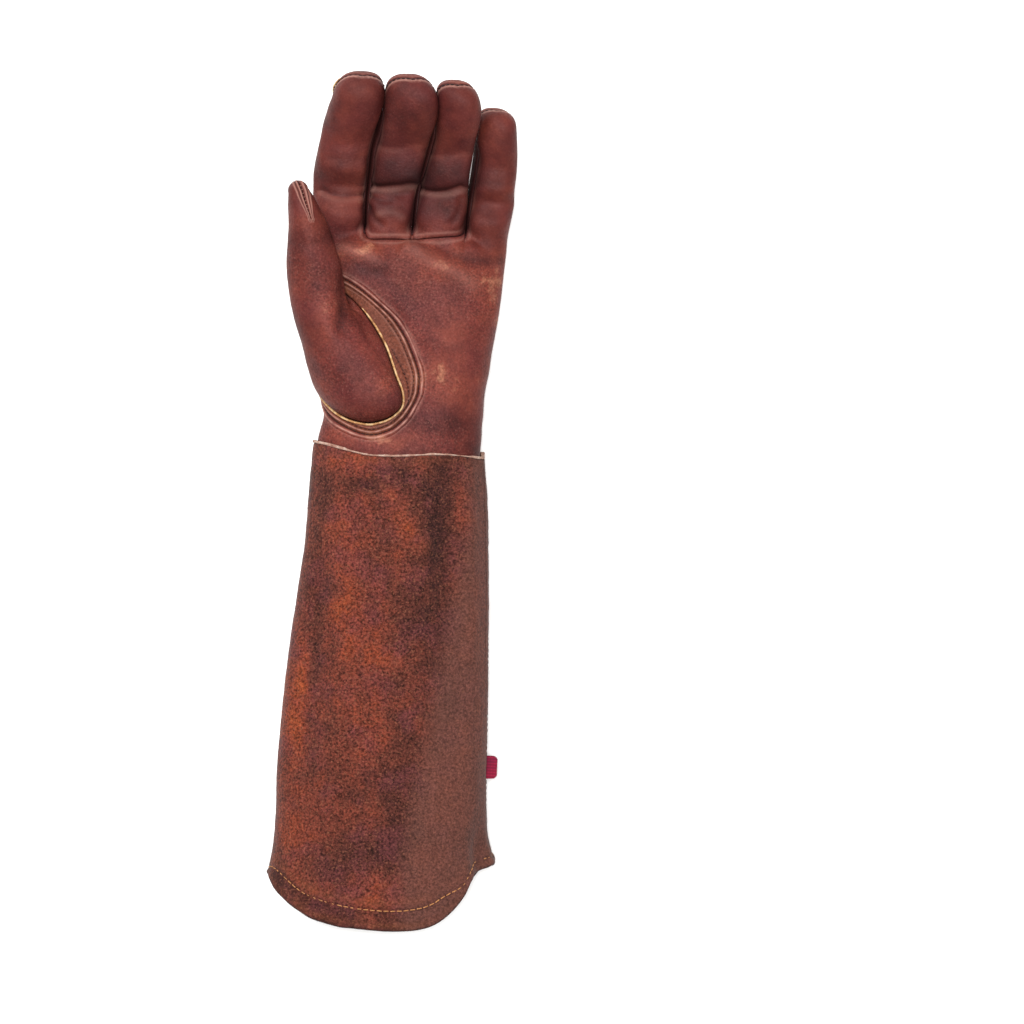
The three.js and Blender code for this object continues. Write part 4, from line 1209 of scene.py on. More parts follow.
@dataclass(frozen=True)
class Finish:
    """A finish and how its material is made."""

    name: str

    def surface(self, g: Graph) -> dict[str, Feed]:
        """What goes into the shader, by its sockets' names with _ for a space."""
        raise NotImplementedError

    def make(self) -> bpy.types.Material:
        """Builds the material.

        Returns:
            The material.
        """
        g = Graph(self.name)
        feeds = {k.replace("_", " "): v for k, v in self.surface(g).items()}
        shader = g.node("ShaderNodeBsdfPrincipled", feeds)
        g.node("ShaderNodeOutputMaterial", {"Surface": shader.outputs[0]})
        return g.material


@dataclass(frozen=True)
class SmoothLeather(Finish):
    """Full-grain leather, reddish brown, with painted shade in its creases and painted highlight and some
    wear at folds and edges.
    """

    name: str = "smooth_leather"
    grain: float = 1.25  # width of the grain in millimetres
    tan: float = 0.0  # how far the colour goes towards tan

    def surface(self, g: Graph) -> dict[str, Feed]:
        """Nodes of this finish.

        Args:
            g: the material.

        Returns:
            What goes into the shader.
        """
        clouds = g.math("ADD", g.noise(40, 3.0, 0.55), g.math("MULTIPLY", g.noise(8, 3.0, 0.6), 0.45))
        tone_and_shade = g.math("MULTIPLY", g.mark("tone_and_shade"), 0.34)
        value = g.math("ADD", g.math("SUBTRACT", clouds, 0.225), tone_and_shade)
        color = g.ramp(
            value,
            (
                (0.12, "2c0e0c"),
                (0.34, "441814"),
                (0.5, "54221b"),
                (0.66, "642c21"),
                (0.75, "87543f"),
                (0.84, "bc7558"),
            ),
        )
        purple = g.remap(g.noise(24, 2.0), 0.42, 0.68, 0.0, 0.3)
        color = g.blend(purple, color, srgb("552325"))
        color = g.blend(self.tan, color, srgb("522d18"))
        grain = g.noise(self.grain, 2.0, 0.6)
        fine = g.noise(0.55, 2.0, 0.6)
        along = g.node("ShaderNodeSeparateXYZ", {0: g.place}).outputs[1]
        smoother = g.remap(along, 0.128, 0.152, 1.0, 0.28)  # the fingers are smoother than the palm
        strength = g.math("MULTIPLY", g.remap(g.noise(28, 2.0), 0.36, 0.62, 0.4, 1.0), smoother)
        color = g.blend(strength, color, g.mottled(color, grain, 0.3, 0.7, 0.56, 1.5))
        pale = g.math("MULTIPLY", g.remap(g.noise(1.0, 2.0, 0.6), 0.56, 0.72, 0.0, 0.34), strength)
        color = g.blend(pale, color, srgb("87594e"))
        # Painted shade: darkens the creases, grooves, seams and gaps between fingers that the mesh marks.
        color = g.marked(color, "crease", 0.86, "1d0c0e")
        # Painted highlight with some real wear: lightens the marked ridge tops, crease lips, raised rims
        # and fingertip edges.
        color = g.marked(color, "wear", 0.72, "a17468")
        rough = g.remap(grain, 0.3, 0.7, 0.68, 0.54)
        wrinkles = g.bump(g.noise(3.4, 3.0, 0.6), 0.4, 0.6)
        normal = g.bump(grain, 0.3, 0.7, wrinkles)
        normal = g.bump(fine, 0.08, 0.5, normal)
        return dict(Base_Color=color, Roughness=rough, Normal=normal, Specular_IOR_Level=0.15)


@dataclass(frozen=True)
class Suede(Finish):
    """Split leather with a brushed nap, mottled from rust to dark brown."""

    name: str = "mottled_suede"
    nap: float = 1.3  # width of the tufts in millimetres

    def surface(self, g: Graph) -> dict[str, Feed]:
        """Nodes of this finish.

        Args:
            g: the material.

        Returns:
            What goes into the shader.
        """
        broad = g.noise(34, 4.0, 0.6, g.stretched((1.0, 0.55, 1.0)))
        blots = g.noise(8, 4.0, 0.65, g.stretched((1.0, 0.8, 1.0)))
        value = g.math("ADD", g.math("MULTIPLY", broad, 0.6), g.math("MULTIPLY", blots, 0.4))
        value = g.math("ADD", value, g.math("MULTIPLY", g.mark("tone_and_shade"), 0.19))
        color = g.ramp(
            value,
            ((0.3, "2f1714"), (0.43, "422019"), (0.53, "53261c"), (0.64, "602a1a"), (0.8, "72361a")),
        )
        color = g.blend(g.remap(g.noise(15, 3.0), 0.48, 0.66, 0.0, 0.5), color, srgb("4a2426"))
        flat = g.mark("flat")
        color = g.blend(g.math("MULTIPLY", flat, 0.72), color, srgb("50322b"))
        nap = g.noise(self.nap, 2.0, 0.6)
        tufts = g.noise(0.8, 2.0, 0.6)
        calm = g.math("SUBTRACT", 1.0, g.math("MULTIPLY", flat, 0.45))
        speck = g.mottled(color, nap, 0.32, 0.68, 0.34, 1.8)
        color = g.blend(calm, color, speck)
        color = g.mottled(color, tufts, 0.3, 0.7, 0.74, 1.3)
        tips = g.math("MULTIPLY", g.remap(g.noise(1.1, 2.0), 0.57, 0.7, 0.0, 0.4), calm)
        color = g.blend(tips, color, srgb("84523d"))
        brushed = g.noise(2.4, 2.0, 0.5, g.stretched((1.0, 0.2, 1.0)))
        color = g.mottled(color, brushed, 0.3, 0.7, 0.92, 1.08)
        # Painted shade: darkens the marked folds, seam lines, the hem's underside and the outline.
        color = g.marked(color, "crease", 0.8, "190c0a")
        # Painted highlight on the marked seam and fold ridges and along the hem, with some real wear.
        color = g.marked(color, "wear", 0.4, "80472c")
        normal = g.bump(nap, 0.5, 0.9, g.bump(blots, 1.0, 0.25))
        feeds = dict(Base_Color=color, Roughness=0.95, Normal=normal)
        return feeds | dict(Specular_IOR_Level=0.1, Sheen_Weight=0.05)


@dataclass(frozen=True)
class Thread(Finish):
    """Twisted sewing thread.

    Attributes:
        name: of the material.
        color: screen colour of the lit side.
        shade: screen colour between the plies.
    """

    name: str
    color: str
    shade: str

    def surface(self, g: Graph) -> dict[str, Feed]:
        """Nodes of this finish.

        Args:
            g: the material.

        Returns:
            What goes into the shader.
        """
        plies = g.noise(0.35, 2.0, 0.6)
        worn_and_highlit = g.remap(g.noise(6, 2.0), 0.35, 0.7)
        color = g.blend(g.remap(plies, 0.35, 0.65), srgb(self.shade), srgb(self.color))
        color = g.blend(g.math("MULTIPLY", worn_and_highlit, 0.3), color, srgb(self.shade))
        normal = g.bump(plies, 0.12, 0.8)
        return dict(Base_Color=color, Roughness=0.7, Normal=normal, Specular_IOR_Level=0.2)


@dataclass(frozen=True)
class Fibres(Finish):
    """Leather whose fibres show, as in a folded welt or a raw cut edge.

    Attributes:
        stops: its colours, from dark to pale.
        clouds: size, detail and roughness of its mottling.
        fibre: size and roughness of the fibres.
        light: brightest fibres, 1 being the leather's own colour.
        rough: how matt it is.
        relief: depth of the fibres in millimetres, and its strength.
        gloss: level of its shine.
    """

    stops: tuple[tuple[float, str], ...]
    clouds: tuple[float, float, float]
    fibre: tuple[float, float]
    light: float
    rough: float
    relief: tuple[float, float]
    gloss: float

    def surface(self, g: Graph) -> dict[str, Feed]:
        """Nodes of this finish.

        Args:
            g: the material.

        Returns:
            What goes into the shader.
        """
        color = g.ramp(g.noise(*self.clouds), self.stops)
        fibres = g.noise(self.fibre[0], 2.0, self.fibre[1])
        color = g.mottled(color, fibres, 0.3, 0.7, 0.75, self.light)
        normal = g.bump(fibres, *self.relief)
        return dict(Base_Color=color, Roughness=self.rough, Normal=normal, Specular_IOR_Level=self.gloss)


WELT = Fibres(
    "gold_tan_welt",
    stops=((0.32, "6e4220"), (0.46, "9e7042"), (0.62, "be9d72")),
    clouds=(4, 3.0, 0.6),
    fibre=(0.9, 0.6),
    light=1.2,
    rough=0.5,
    relief=(0.12, 0.7),
    gloss=0.4,
)
CUT_EDGE = Fibres(
    "raw_cut_edge",
    stops=((0.3, "71493c"), (0.48, "957365"), (0.65, "ab9486")),
    clouds=(3.5, 4.0, 0.7),
    fibre=(0.8, 0.7),
    light=1.15,
    rough=0.9,
    relief=(0.25, 0.9),
    gloss=0.1,
)


@dataclass(frozen=True)
class Ribbon(Finish):
    """Woven red ribbon with a fine weave."""

    name: str = "woven_red_ribbon"
    rib: float = 0.4

    def surface(self, g: Graph) -> dict[str, Feed]:
        """Nodes of this finish.

        Args:
            g: the material.

        Returns:
            What goes into the shader.
        """
        scale = 1 / (self.rib * MM) / math.tau * 0.5
        wave = {"Vector": g.place, "Scale": scale, "Distortion": 0.4, "Detail": 1.0}
        ribs = g.node("ShaderNodeTexWave", wave, bands_direction="Y").outputs["Fac"]
        cross = g.node("ShaderNodeTexWave", wave, bands_direction="X").outputs["Fac"]
        weave = g.math("MULTIPLY", ribs, g.remap(cross, 0, 1, 0.6, 1.0))
        color = g.ramp(weave, ((0.0, "6a0d26"), (0.5, "7e102d"), (1.0, "8e1836")))
        color = g.blend(g.remap(g.noise(6, 2.0), 0.42, 0.62, 0.0, 0.5), color, srgb("4e1030"))
        feeds = dict(Base_Color=color, Roughness=0.75, Normal=g.bump(weave, 0.1, 0.6))
        return feeds | dict(Specular_IOR_Level=0.15, Sheen_Weight=0.1)


@dataclass(frozen=True)
class PaleFloor(Finish):
    """Plain pale backdrop."""

    name: str = "pale_floor"

    def surface(self, g: Graph) -> dict[str, Feed]:
        """Nodes of this finish.

        Args:
            g: the material.

        Returns:
            What goes into the shader.
        """
        fine = g.noise(60, 2.0)
        color = g.blend(fine, srgb("f6f5f3"), srgb("fafaf9"))
        normal = g.bump(fine, 0.01, 0.1)
        return dict(Base_Color=color, Roughness=0.9, Normal=normal, Specular_IOR_Level=0.1)


def linked(name: str, data: bpy.types.ID) -> bpy.types.Object:
    """A new object in the scene.

    Args:
        name: of the object.
        data: its mesh, light or camera.

    Returns:
        The object.
    """
    thing = bpy.data.objects.new(name, data)
    bpy.context.scene.collection.objects.link(thing)
    return thing


@dataclass
class Workshop:
    """Makes objects from sheets, hangs each on the root body and hides the imported parts it stands for."""

    materials: dict[str, bpy.types.Material] = field(default_factory=dict)

    def prepare(self) -> None:
        """Makes all the materials."""
        leathers = (SmoothLeather(), SmoothLeather("tan_leather", tan=0.5), Suede(), WELT, CUT_EDGE)
        threads = (
            Thread("brown_thread", "1c0c0c", "0f0707"),
            Thread("dark_red_thread", "3a1814", "240e0c"),
            Thread("tan_thread", "8a6255", "4b2a22"),
            Thread("gold_thread", "bc8355", "80502c"),
            Thread("rust_thread", "56301f", "331a13"),
        )
        for finish in (*leathers, *threads, Ribbon(), PaleFloor()):
            self.materials[finish.name] = finish.make()

    def mesh(self, name: str, sheet: Sheet, material: str) -> bpy.types.Object:
        """Turns a sheet into an object.

        Args:
            name: of the object.
            sheet: its points in millimetres, faces and marks.
            material: name of its finish.

        Returns:
            The object, at the origin.
        """
        faces = [list(dict.fromkeys(f)) for f in sheet.faces.tolist()]
        mesh = bpy.data.meshes.new(name)
        points = ((sheet.points + PART_SHIFT) * MM).tolist()
        mesh.from_pydata(points, [], [f for f in faces if len(f) > 2])
        for mark, values in sheet.marks.items():
            attribute = mesh.attributes.new(mark, "FLOAT", "POINT")
            attribute.data.foreach_set("value", values.astype(np.float32))
        mesh.validate()
        mesh.shade_smooth()
        mesh.materials.append(self.materials[material])
        return linked(name, mesh)

    def place(self, piece: bpy.types.Object, slot: Slot, *nodes: str) -> None:
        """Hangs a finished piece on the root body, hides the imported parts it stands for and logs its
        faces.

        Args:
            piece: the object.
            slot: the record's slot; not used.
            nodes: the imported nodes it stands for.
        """
        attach(piece, "root")
        if nodes:
            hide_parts(*nodes)
        log.info("%s: %d faces", piece.name, len(piece.data.polygons))


# Stitches


@dataclass(frozen=True)
class Stitch:
    """One kind of stitch.

    Attributes:
        pitch: from one stitch to the next, in millimetres.
        length: of the thread that shows.
        thickness: of the thread.
        slant: degrees between the stitch and its line.
        material: name of the thread's finish.
        slot: the record's slot.
    """

    pitch: float
    length: float
    thickness: float
    slant: float
    material: str
    slot: Slot


class SewingNodes(Nodes):
    """Geometry nodes that sew one stitch again and again along lines."""

    SIZES = ("Pitch", "Length", "Thickness", "Arch", "Slant", "Unevenness")

    def __init__(self) -> None:
        """Builds the tree."""
        self.tree = bpy.data.node_groups.new("sewn_line", "GeometryNodeTree")
        sizes = {name: "Float" for name in self.SIZES}
        sockets = {"Line": "Geometry", **sizes, "Seed": "Int", "Thread": "Material", "Stitches": "Geometry"}
        for name, kind in sockets.items():
            way = "OUTPUT" if name == "Stitches" else "INPUT"
            self.tree.interface.new_socket(name=name, in_out=way, socket_type="NodeSocket" + kind)
        self.inlet = self.node("NodeGroupInput")
        self.wire()

    def wire(self) -> None:
        """Links the tree: one stitch, its places, its turn, and the material."""
        size = self.inlet.outputs
        half = self.math("MULTIPLY", size["Length"], 0.5)
        low = self.math("MULTIPLY", size["Arch"], -1.0)
        start = self.out("ShaderNodeCombineXYZ", {"X": self.math("MULTIPLY", half, -1.0), "Z": low})
        crown = self.out("ShaderNodeCombineXYZ", {"Z": size["Arch"]})
        end = self.out("ShaderNodeCombineXYZ", {"X": half, "Z": low})
        arc = {"Resolution": 5, "Start": start, "Middle": crown, "End": end}
        ring = {"Resolution": 6, "Radius": self.math("MULTIPLY", size["Thickness"], 0.5)}
        bar = {
            "Curve": self.out("GeometryNodeCurveQuadraticBezier", arc),
            "Profile Curve": self.out("GeometryNodeCurvePrimitiveCircle", ring),
            "Fill Caps": True,
        }
        stitch = self.out("GeometryNodeCurveToMesh", bar)
        line = self.out("GeometryNodeMeshToCurve", {"Mesh": size["Line"]})
        steps = {"Curve": line, "Length": size["Pitch"]}
        places = self.out("GeometryNodeResampleCurve", steps, mode="LENGTH")
        named = {"Name": "outward"}
        outward = self.node("GeometryNodeInputNamedAttribute", named, data_type="FLOAT_VECTOR")
        tangent = self.out("GeometryNodeInputTangent")
        upright = self.out(
            "FunctionNodeAxesToRotation",
            {"Primary Axis": outward.outputs["Attribute"], "Secondary Axis": tangent},
            primary_axis="Z",
            secondary_axis="X",
        )
        least = self.math("MULTIPLY", size["Unevenness"], -1.0)
        wobble = {2: least, 3: size["Unevenness"], "Seed": size["Seed"]}
        uneven = self.node("FunctionNodeRandomValue", wobble, data_type="FLOAT").outputs[1]
        turn = self.out("ShaderNodeCombineXYZ", {"Z": self.math("ADD", size["Slant"], uneven)})
        turns = {"Rotation": upright, "Rotate By": turn}
        turned = self.out("FunctionNodeRotateRotation", turns, rotation_space="LOCAL")
        copies = {"Points": places, "Instance": stitch, "Rotation": turned}
        sewn = self.out("GeometryNodeInstanceOnPoints", copies)
        real = self.out("GeometryNodeRealizeInstances", {"Geometry": sewn})
        smooth = self.out("GeometryNodeSetShadeSmooth", {0: real})
        thread = {"Geometry": smooth, "Material": size["Thread"]}
        self.node("NodeGroupOutput", {0: self.out("GeometryNodeSetMaterial", thread)})

    def sew(self, name: str, lines: Lines, kind: Stitch, shop: Workshop) -> None:
        """Args:
            name: of the piece.
            lines: points and outward directions of each line, in millimetres.
            kind: the stitch.
            shop: holds the materials.
        """
        count, edges = 0, []
        for points, _ in lines:
            edges += [(count + i, count + i + 1) for i in range(len(points) - 1)]
            count += len(points)
        points = np.concatenate([p for p, _ in lines])
        guide = bpy.data.meshes.new(name + "_guide")
        guide.from_pydata(((points + PART_SHIFT) * MM).tolist(), edges, [])
        outward = guide.attributes.new("outward", "FLOAT_VECTOR", "POINT")
        directions = np.concatenate([n for _, n in lines]).astype(np.float32)
        outward.data.foreach_set("vector", directions.ravel())
        carrier = linked(name + "_guide", guide)
        modifier = carrier.modifiers.new("sewing", "NODES")
        modifier.node_group = self.tree
        values = {
            "Pitch": kind.pitch * MM,
            "Length": kind.length * MM,
            "Thickness": kind.thickness * MM,
            "Arch": kind.thickness * 0.45 * MM,
            "Slant": math.radians(kind.slant),
            "Unevenness": math.radians(5),
            "Seed": 7,
            "Thread": shop.materials[kind.material],
        }
        for item in self.tree.interface.items_tree:
            if item.in_out == "INPUT" and item.name in values:
                modifier[item.identifier] = values[item.name]
        graph = bpy.context.evaluated_depsgraph_get()
        mesh = bpy.data.meshes.new_from_object(carrier.evaluated_get(graph))
        mesh.name = name
        piece = linked(name, mesh)
        carrier.modifiers.remove(modifier)
        bpy.data.objects.remove(carrier)
        shop.place(piece, kind.slot)


# Sub-assemblies


@dataclass
class Crescent:
    """The seam round the thumb's root, and the crescent of leather sewn round it."""

    seam: Table = Table(
        ("around", "section", "along", "edge_section", "edge_along", "lift"),
        (
            (5, 95.2, 0.339, 79.8, 0.376, 0.8),
            (25, 91.0, 0.276, 78.1, 0.284, 0.85),
            (38, 89.9, 0.236, 79.6, 0.239, 0.85),
            (50, 91.3, 0.197, 83.4, 0.194, 0.85),
            (60, 95.8, 0.167, 89.3, 0.139, 0.82),
            (70, 102.6, 0.139, 97.5, 0.0895, 0.78),
            (82, 114.2, 0.121, 111.1, 0.064, 0.75),
            (105, 133.6, 0.145, 136.2, 0.106, 0.6),
            (130, 155, 0.21, 161, 0.168, 0.4),
            (152, 178, 0.287, 184, 0.255, 0.32),
            (180, 192, 0.415, 199, 0.4, 0.35),
            (205, 197, 0.54, 204, 0.545, 0.4),
            (235, 190, 0.66, 196, 0.7, 0.45),
            (262, 170, 0.735, 171, 0.785, 0.5),
            (290, 143, 0.735, 136, 0.78, 0.6),
            (315, 122.4, 0.639, 108.3, 0.655, 0.7),
            (345, 104.4, 0.478, 91.6, 0.532, 0.75),
        ),
        turn=360.0,
    )
    steps: int = 420

    def mark(self, around: Array, q: Array | float) -> tuple[Array, Array]:
        """Places between the seam and the crescent's edge.

        Args:
            around: angles round the thumb.
            q: 0 at the seam to 1 at the edge.

        Returns:
            Distances from the wrist and section angles.
        """
        angle = mix(self.seam.read("section", around), self.seam.read("edge_section", around), q)
        along = mix(self.seam.read("along", around), self.seam.read("edge_along", around), q)
        return along * HAND.length, angle

    def point(self, around: Array, q: Array | float) -> Array:
        """Points on the hand between the seam and the edge, or beyond it."""
        return HAND.skin(*self.mark(around, q))

    def width(self, around: Array) -> Array:
        """Width of the crescent at angles round the thumb."""
        return np.linalg.norm(self.point(around, 1.0) - self.point(around, 0.0), axis=-1)

    def outside(self, sheet: Sheet) -> Array:
        """Signed distances from the crescent's edge.

        Args:
            sheet: the palm.

        Returns:
            One for each point, above 0 outside.
        """
        around = np.linspace(0, 360, 241)
        line = self.point(around, 1.0)
        edge_y, edge_angle = self.mark(around, 1.0)
        y, angle = sheet.marks["v"] + HAND.length, sheet.marks["angle"]
        near = (y < HAND.length * 0.84) & (y > 0) & (angle > 60)
        result = np.full(len(y), 99.0)
        inside = np.zeros(near.sum(), bool)
        own_y, own_angle = y[near], angle[near]
        for i in range(240):
            (y0, y1), (a0, a1) = edge_y[i : i + 2], edge_angle[i : i + 2]
            crosses = (y0 > own_y) != (y1 > own_y)
            with np.errstate(divide="ignore", invalid="ignore"):
                share = (own_y - y0) / (y1 - y0)
            inside ^= crosses & (own_angle < mix(a0, a1, share))
        distance = line_distance(sheet.points[near], line)
        result[near] = np.where(inside, -distance, distance)
        return result

    def piece(self) -> Sheet:
        """The crescent itself, with its two ridges and lines of stitch holes.

        Returns:
            The closed wall.
        """
        around = np.linspace(0, 360, self.steps + 1)[:, None]
        q = np.concatenate([np.linspace(0, 0.3, 6), np.linspace(0.34, 1.0, 26)])[None, :]
        points = self.point(around, q)
        width = self.width(around)
        from_edge = (1 - q) * width
        pucker = 1 + 0.35 * np.cos(np.radians(around) * 82)
        row, shown = self.inner_row(around)
        inner = bell((from_edge - row) / 0.55) * shown
        rise = 0.6 * bell((from_edge - 1.75) / 0.7) - 0.45 * bell((from_edge - 3.2) / 0.45) * pucker
        rise = rise + 0.2 * bell((from_edge - 4.0) / 0.6) - 0.5 * bell(from_edge / 0.7)
        rise = rise - 0.4 * inner * pucker
        # Painted shade in the grooves, the stitch rows and the seam; painted highlight on the two ridges.
        dark = 0.6 * bell(from_edge / 0.45) + 0.4 * bell((from_edge - 3.2) / 0.35) + 0.35 * inner
        dark = dark + 0.55 * bell(q * width / 0.9)
        wear = 1.1 * bell((from_edge - 1.75) / 0.45) + 0.35 * bell((from_edge - 4.1) / 0.5)
        sheet = Sheet.joined(Sheet.grid(points, True, rise=rise, crease=dark, wear=wear))
        rise = sheet.marks.pop("rise") + 0.1 * LEATHER_NOISE.at(sheet.points, 4.0)
        sheet.marks["wear"] *= 0.75 + 0.5 * LEATHER_NOISE.at(sheet.points, 2.2)
        sheet.marks["tone_and_shade"] = np.clip(toned(sheet.points, LEATHER_TONES) + 0.12, -1, 1)
        return sheet.shell(1.3, rise)

    @staticmethod
    def inner_row(around: Array) -> tuple[Array, Array]:
        """The inner row of stitches.

        Args:
            around: angles round the thumb.

        Returns:
            Its distance from the edge, and where it shows.
        """
        turn = np.mod(around + 180, 360) - 180
        shown = ease((turn + 14) / 6) * (1 - ease((turn - 44) / 8))
        return np.interp(turn, (-14, 46), (10.0, 3.2)), shown

    def turned_edge(self) -> Sheet:
        """The palm's folded edge, a raised band round the crescent.

        Returns:
            The band as a closed wall.
        """
        around = np.linspace(0, 360, self.steps + 1)[:, None]
        reach = np.array((-0.3, 0.0, 0.3, 0.6, 0.95, 1.3, 1.65, 2.0, 2.4, 2.8, 3.2))[None, :]
        q = 1 + reach / self.width(around)
        height = 0.75 * bell((reach - 1.35) / 0.8) * (1 + 0.12 * np.cos(np.radians(around) * 97)) - 0.1
        points = self.point(around, q) + HAND.normal(*self.mark(around, q)) * height[..., None]
        even = np.ones_like(around)
        # Painted shade at the folded edge and the outer groove; painted highlight on the ridge.
        dark = even * (0.6 * bell((reach + 0.1) / 0.4) + 0.22 * bell((reach - 3.0) / 0.4))
        wear = even * 1.1 * bell((reach - 1.35) / 0.5)
        sheet = Sheet.joined(Sheet.grid(points, True, crease=dark, wear=wear))
        sheet.marks["wear"] *= 0.8 + 0.6 * LEATHER_NOISE.at(sheet.points, 2.5)
        sheet.marks["tone_and_shade"] = toned(sheet.points, LEATHER_TONES)
        return sheet.shell(0.9, 0.0, 0.5)

    def stitch_line(self, start: float, end: float, distance: float, lift: float) -> tuple[Array, Array]:
        """A line to sew along.

        Args:
            start: first angle round the thumb.
            end: last angle.
            distance: inwards from the edge, 0 for the inner row.
            lift: height over the leather.

        Returns:
            Points and outward directions.
        """
        around = np.linspace(start, end, 160)
        q = 1 - (distance or self.inner_row(around)[0]) / self.width(around)
        normal = HAND.normal(*self.mark(around, q))
        return self.point(around, q) + normal * lift, normal


LAST_RING = 7  # number of the last row in the thumb's table of rings


@dataclass
class Thumb:
    """The thumb: its puffed root, the free tube and the seam at its tip."""

    crescent: Crescent
    width: float = 28.5
    depth: float = 27.0
    tip: float = 5.5
    tube_start: float = 0.25
    columns: int = 168
    # the seam at the tip: across and along
    slit: tuple[tuple[float, float], ...] = (
        (-58.4, 139.2),
        (-55.6, 133.4),
        (-53.2, 126.4),
        (-50.2, 118.4),
    )
    rings: Table = Table(
        ("at", "along", "across", "height", "width", "depth"),
        (
            (0, 0.46, -0.36, 1.1, 1.0, 0.95),
            (1, 0.6, -0.43, 1.15, 0.99, 0.97),
            (2, 0.72, -0.462, 1.2, 1.03, 1.0),
            (3, 0.84, -0.486, 1.26, 0.98, 0.98),
            (4, 0.96, -0.511, 1.32, 0.8, 0.92),
            (5, 1.05, -0.538, 1.36, 0.63, 0.82),
            (6, 1.12, -0.563, 1.38, 0.48, 0.7),
            (7, 1.16, -0.577, 1.39, 0.38, 0.6),
        ),
    )

    def centre(self, u: Array) -> Array:
        """Centre line of the thumb at shares of its length."""
        x, y, z = (self.rings.read(c, u * LAST_RING) for c in ("across", "along", "height"))
        return stack(x * HAND.width, y * HAND.length, z * HAND.depth)

    def ahead(self, u: Array) -> Array:
        """Direction of the centre line."""
        return unit(self.centre(np.minimum(u + 0.02, 1)) - self.centre(np.maximum(u - 0.02, 0)))

    def ring(self, u: Array, around: Array | float, size: Array | float = 1.0) -> Array:
        """Points on the thumb's rings.

        Args:
            u: shares of the thumb's length.
            around: angles round it.
            size: share of the rings' full size.

        Returns:
            The points.
        """
        u, around = paired(u, around)
        ahead = self.ahead(u)
        right = unit(np.cross(ahead, np.array((0.0, 0.0, 1.0))))
        up = np.cross(right, ahead)
        a = self.rings.read("width", u * LAST_RING) * self.width / 2 * size
        b = self.rings.read("depth", u * LAST_RING) * self.depth / 2 * size
        turn = np.radians(around)
        side = (a * np.cos(turn))[..., None] * right
        return self.centre(u) + side + (b * np.sin(turn))[..., None] * up

    def root(self, h: Array, around: Array) -> Array:
        """Skin between the seam on the hand and the free tube.

        Args:
            h: 0 at the seam to 1 at the tube.
            around: angles round the thumb.

        Returns:
            The points.
        """
        y, angle = self.crescent.mark(around, 0.0)
        start, leave = HAND.skin(y, angle), HAND.normal(y, angle)
        end = self.ring(np.full(around.shape, self.tube_start), around)
        span = np.linalg.norm(end - start, axis=-1, keepdims=True)
        leave = leave * span * self.crescent.seam.read("lift", around)[..., None]
        arrive = self.ahead(np.full(around.shape, self.tube_start)) * span
        h = h[..., None]
        return (
            start * (2 * h**3 - 3 * h**2 + 1)
            + leave * (h**3 - 2 * h**2 + h)
            + end * (3 * h**2 - 2 * h**3)
            + arrive * (h**3 - h**2)
        )

    def piece(self) -> Sheet:
        """The thumb, creased and marked.

        Returns:
            The closed wall.
        """
        around = np.linspace(0, 360, self.columns + 1)
        low = np.concatenate([[0, 0.008, 0.018, 0.032], spread(0.05, 1.0, 0.022)])
        mid = np.concatenate([spread(1.0, 1.55, 0.014)[1:], spread(1.55, 2.0, 0.008)[1:]])
        h, turn = np.meshgrid(low, around, indexing="ij")
        root = self.root(h, turn)
        h, turn = np.meshgrid(mid, around, indexing="ij")
        free = self.ring(mix(self.tube_start, 1, h - 1), turn)
        bend, turn = np.meshgrid(np.linspace(0, math.pi / 2, 16)[1:], around, indexing="ij")
        end = self.ring(np.ones_like(bend), turn, np.cos(bend))
        end = end + self.ahead(np.array(1.0)) * (np.sin(bend) * self.tip)[..., None]
        sheet = Sheet.joined(Sheet.grid(np.concatenate([root, free, end]), True))
        normals = sheet.normals()
        edge = sheet.border_distance()
        rise, dark, worn_and_highlit = press(sheet.points, normals, THUMB_CREASES, Face.PALM)
        rise *= ease(edge / 6)
        low = sheet.points[:, 1] - self.slit[-1][1]
        distance = line_distance(sheet.points[:, :2], np.array(self.slit)) / (0.45 + 0.55 * ease(low / 14))
        up = ease(normals[:, 2] * 2) * ease((low + 2.5) / 2.5)
        lips = 0.8 * bell((distance - 1.25) / 0.5) + 0.5 * bell((distance - 2.9) / 0.5)
        rise += up * (lips - 1.4 * bell(distance / 0.4) - 0.3 * bell((distance - 2.1) / 0.3))
        # Painted shade in the slit's groove and beside its lips.
        dark += up * (1.0 * bell(distance / 0.42) + 0.6 * bell((distance - 2.1) / 0.3))
        rise += 0.14 * LEATHER_NOISE.at(sheet.points, 5.0) + 0.3 * LEATHER_NOISE.at(sheet.points, 13.0)
        sheet.marks["crease"] = np.clip(dark + 0.5 * bell(edge / 1.2), 0, 1)
        sheet.marks["tone_and_shade"] = toned(sheet.points, LEATHER_TONES)
        # Painted highlight on the two lips of the slit.
        lit = 0.95 * bell((distance - 1.2) / 0.4) + 0.75 * bell((distance - 2.9) / 0.45)
        sheet.marks["wear"] = np.clip(worn_and_highlit + up * lit, 0, 1)
        return sheet.shell(1.3, rise)

    def slit_line(self) -> tuple[Array, Array]:
        """The line of the tip's seam, to sew across.

        Returns:
            Points and outward directions.
        """
        start, end = np.array(self.slit[0]), np.array(self.slit[-1])
        x, y = np.array([mix(start, end, u) for u in np.linspace(0.16, 1, 30)]).T
        top = self.ring(np.linspace(0.3, 1.0, 400), 90.0)
        z = np.interp(y, top[:, 1], top[:, 2])
        return stack(x, y, z - 0.55), np.tile((0.0, -0.25, 1.0), (len(x), 1))


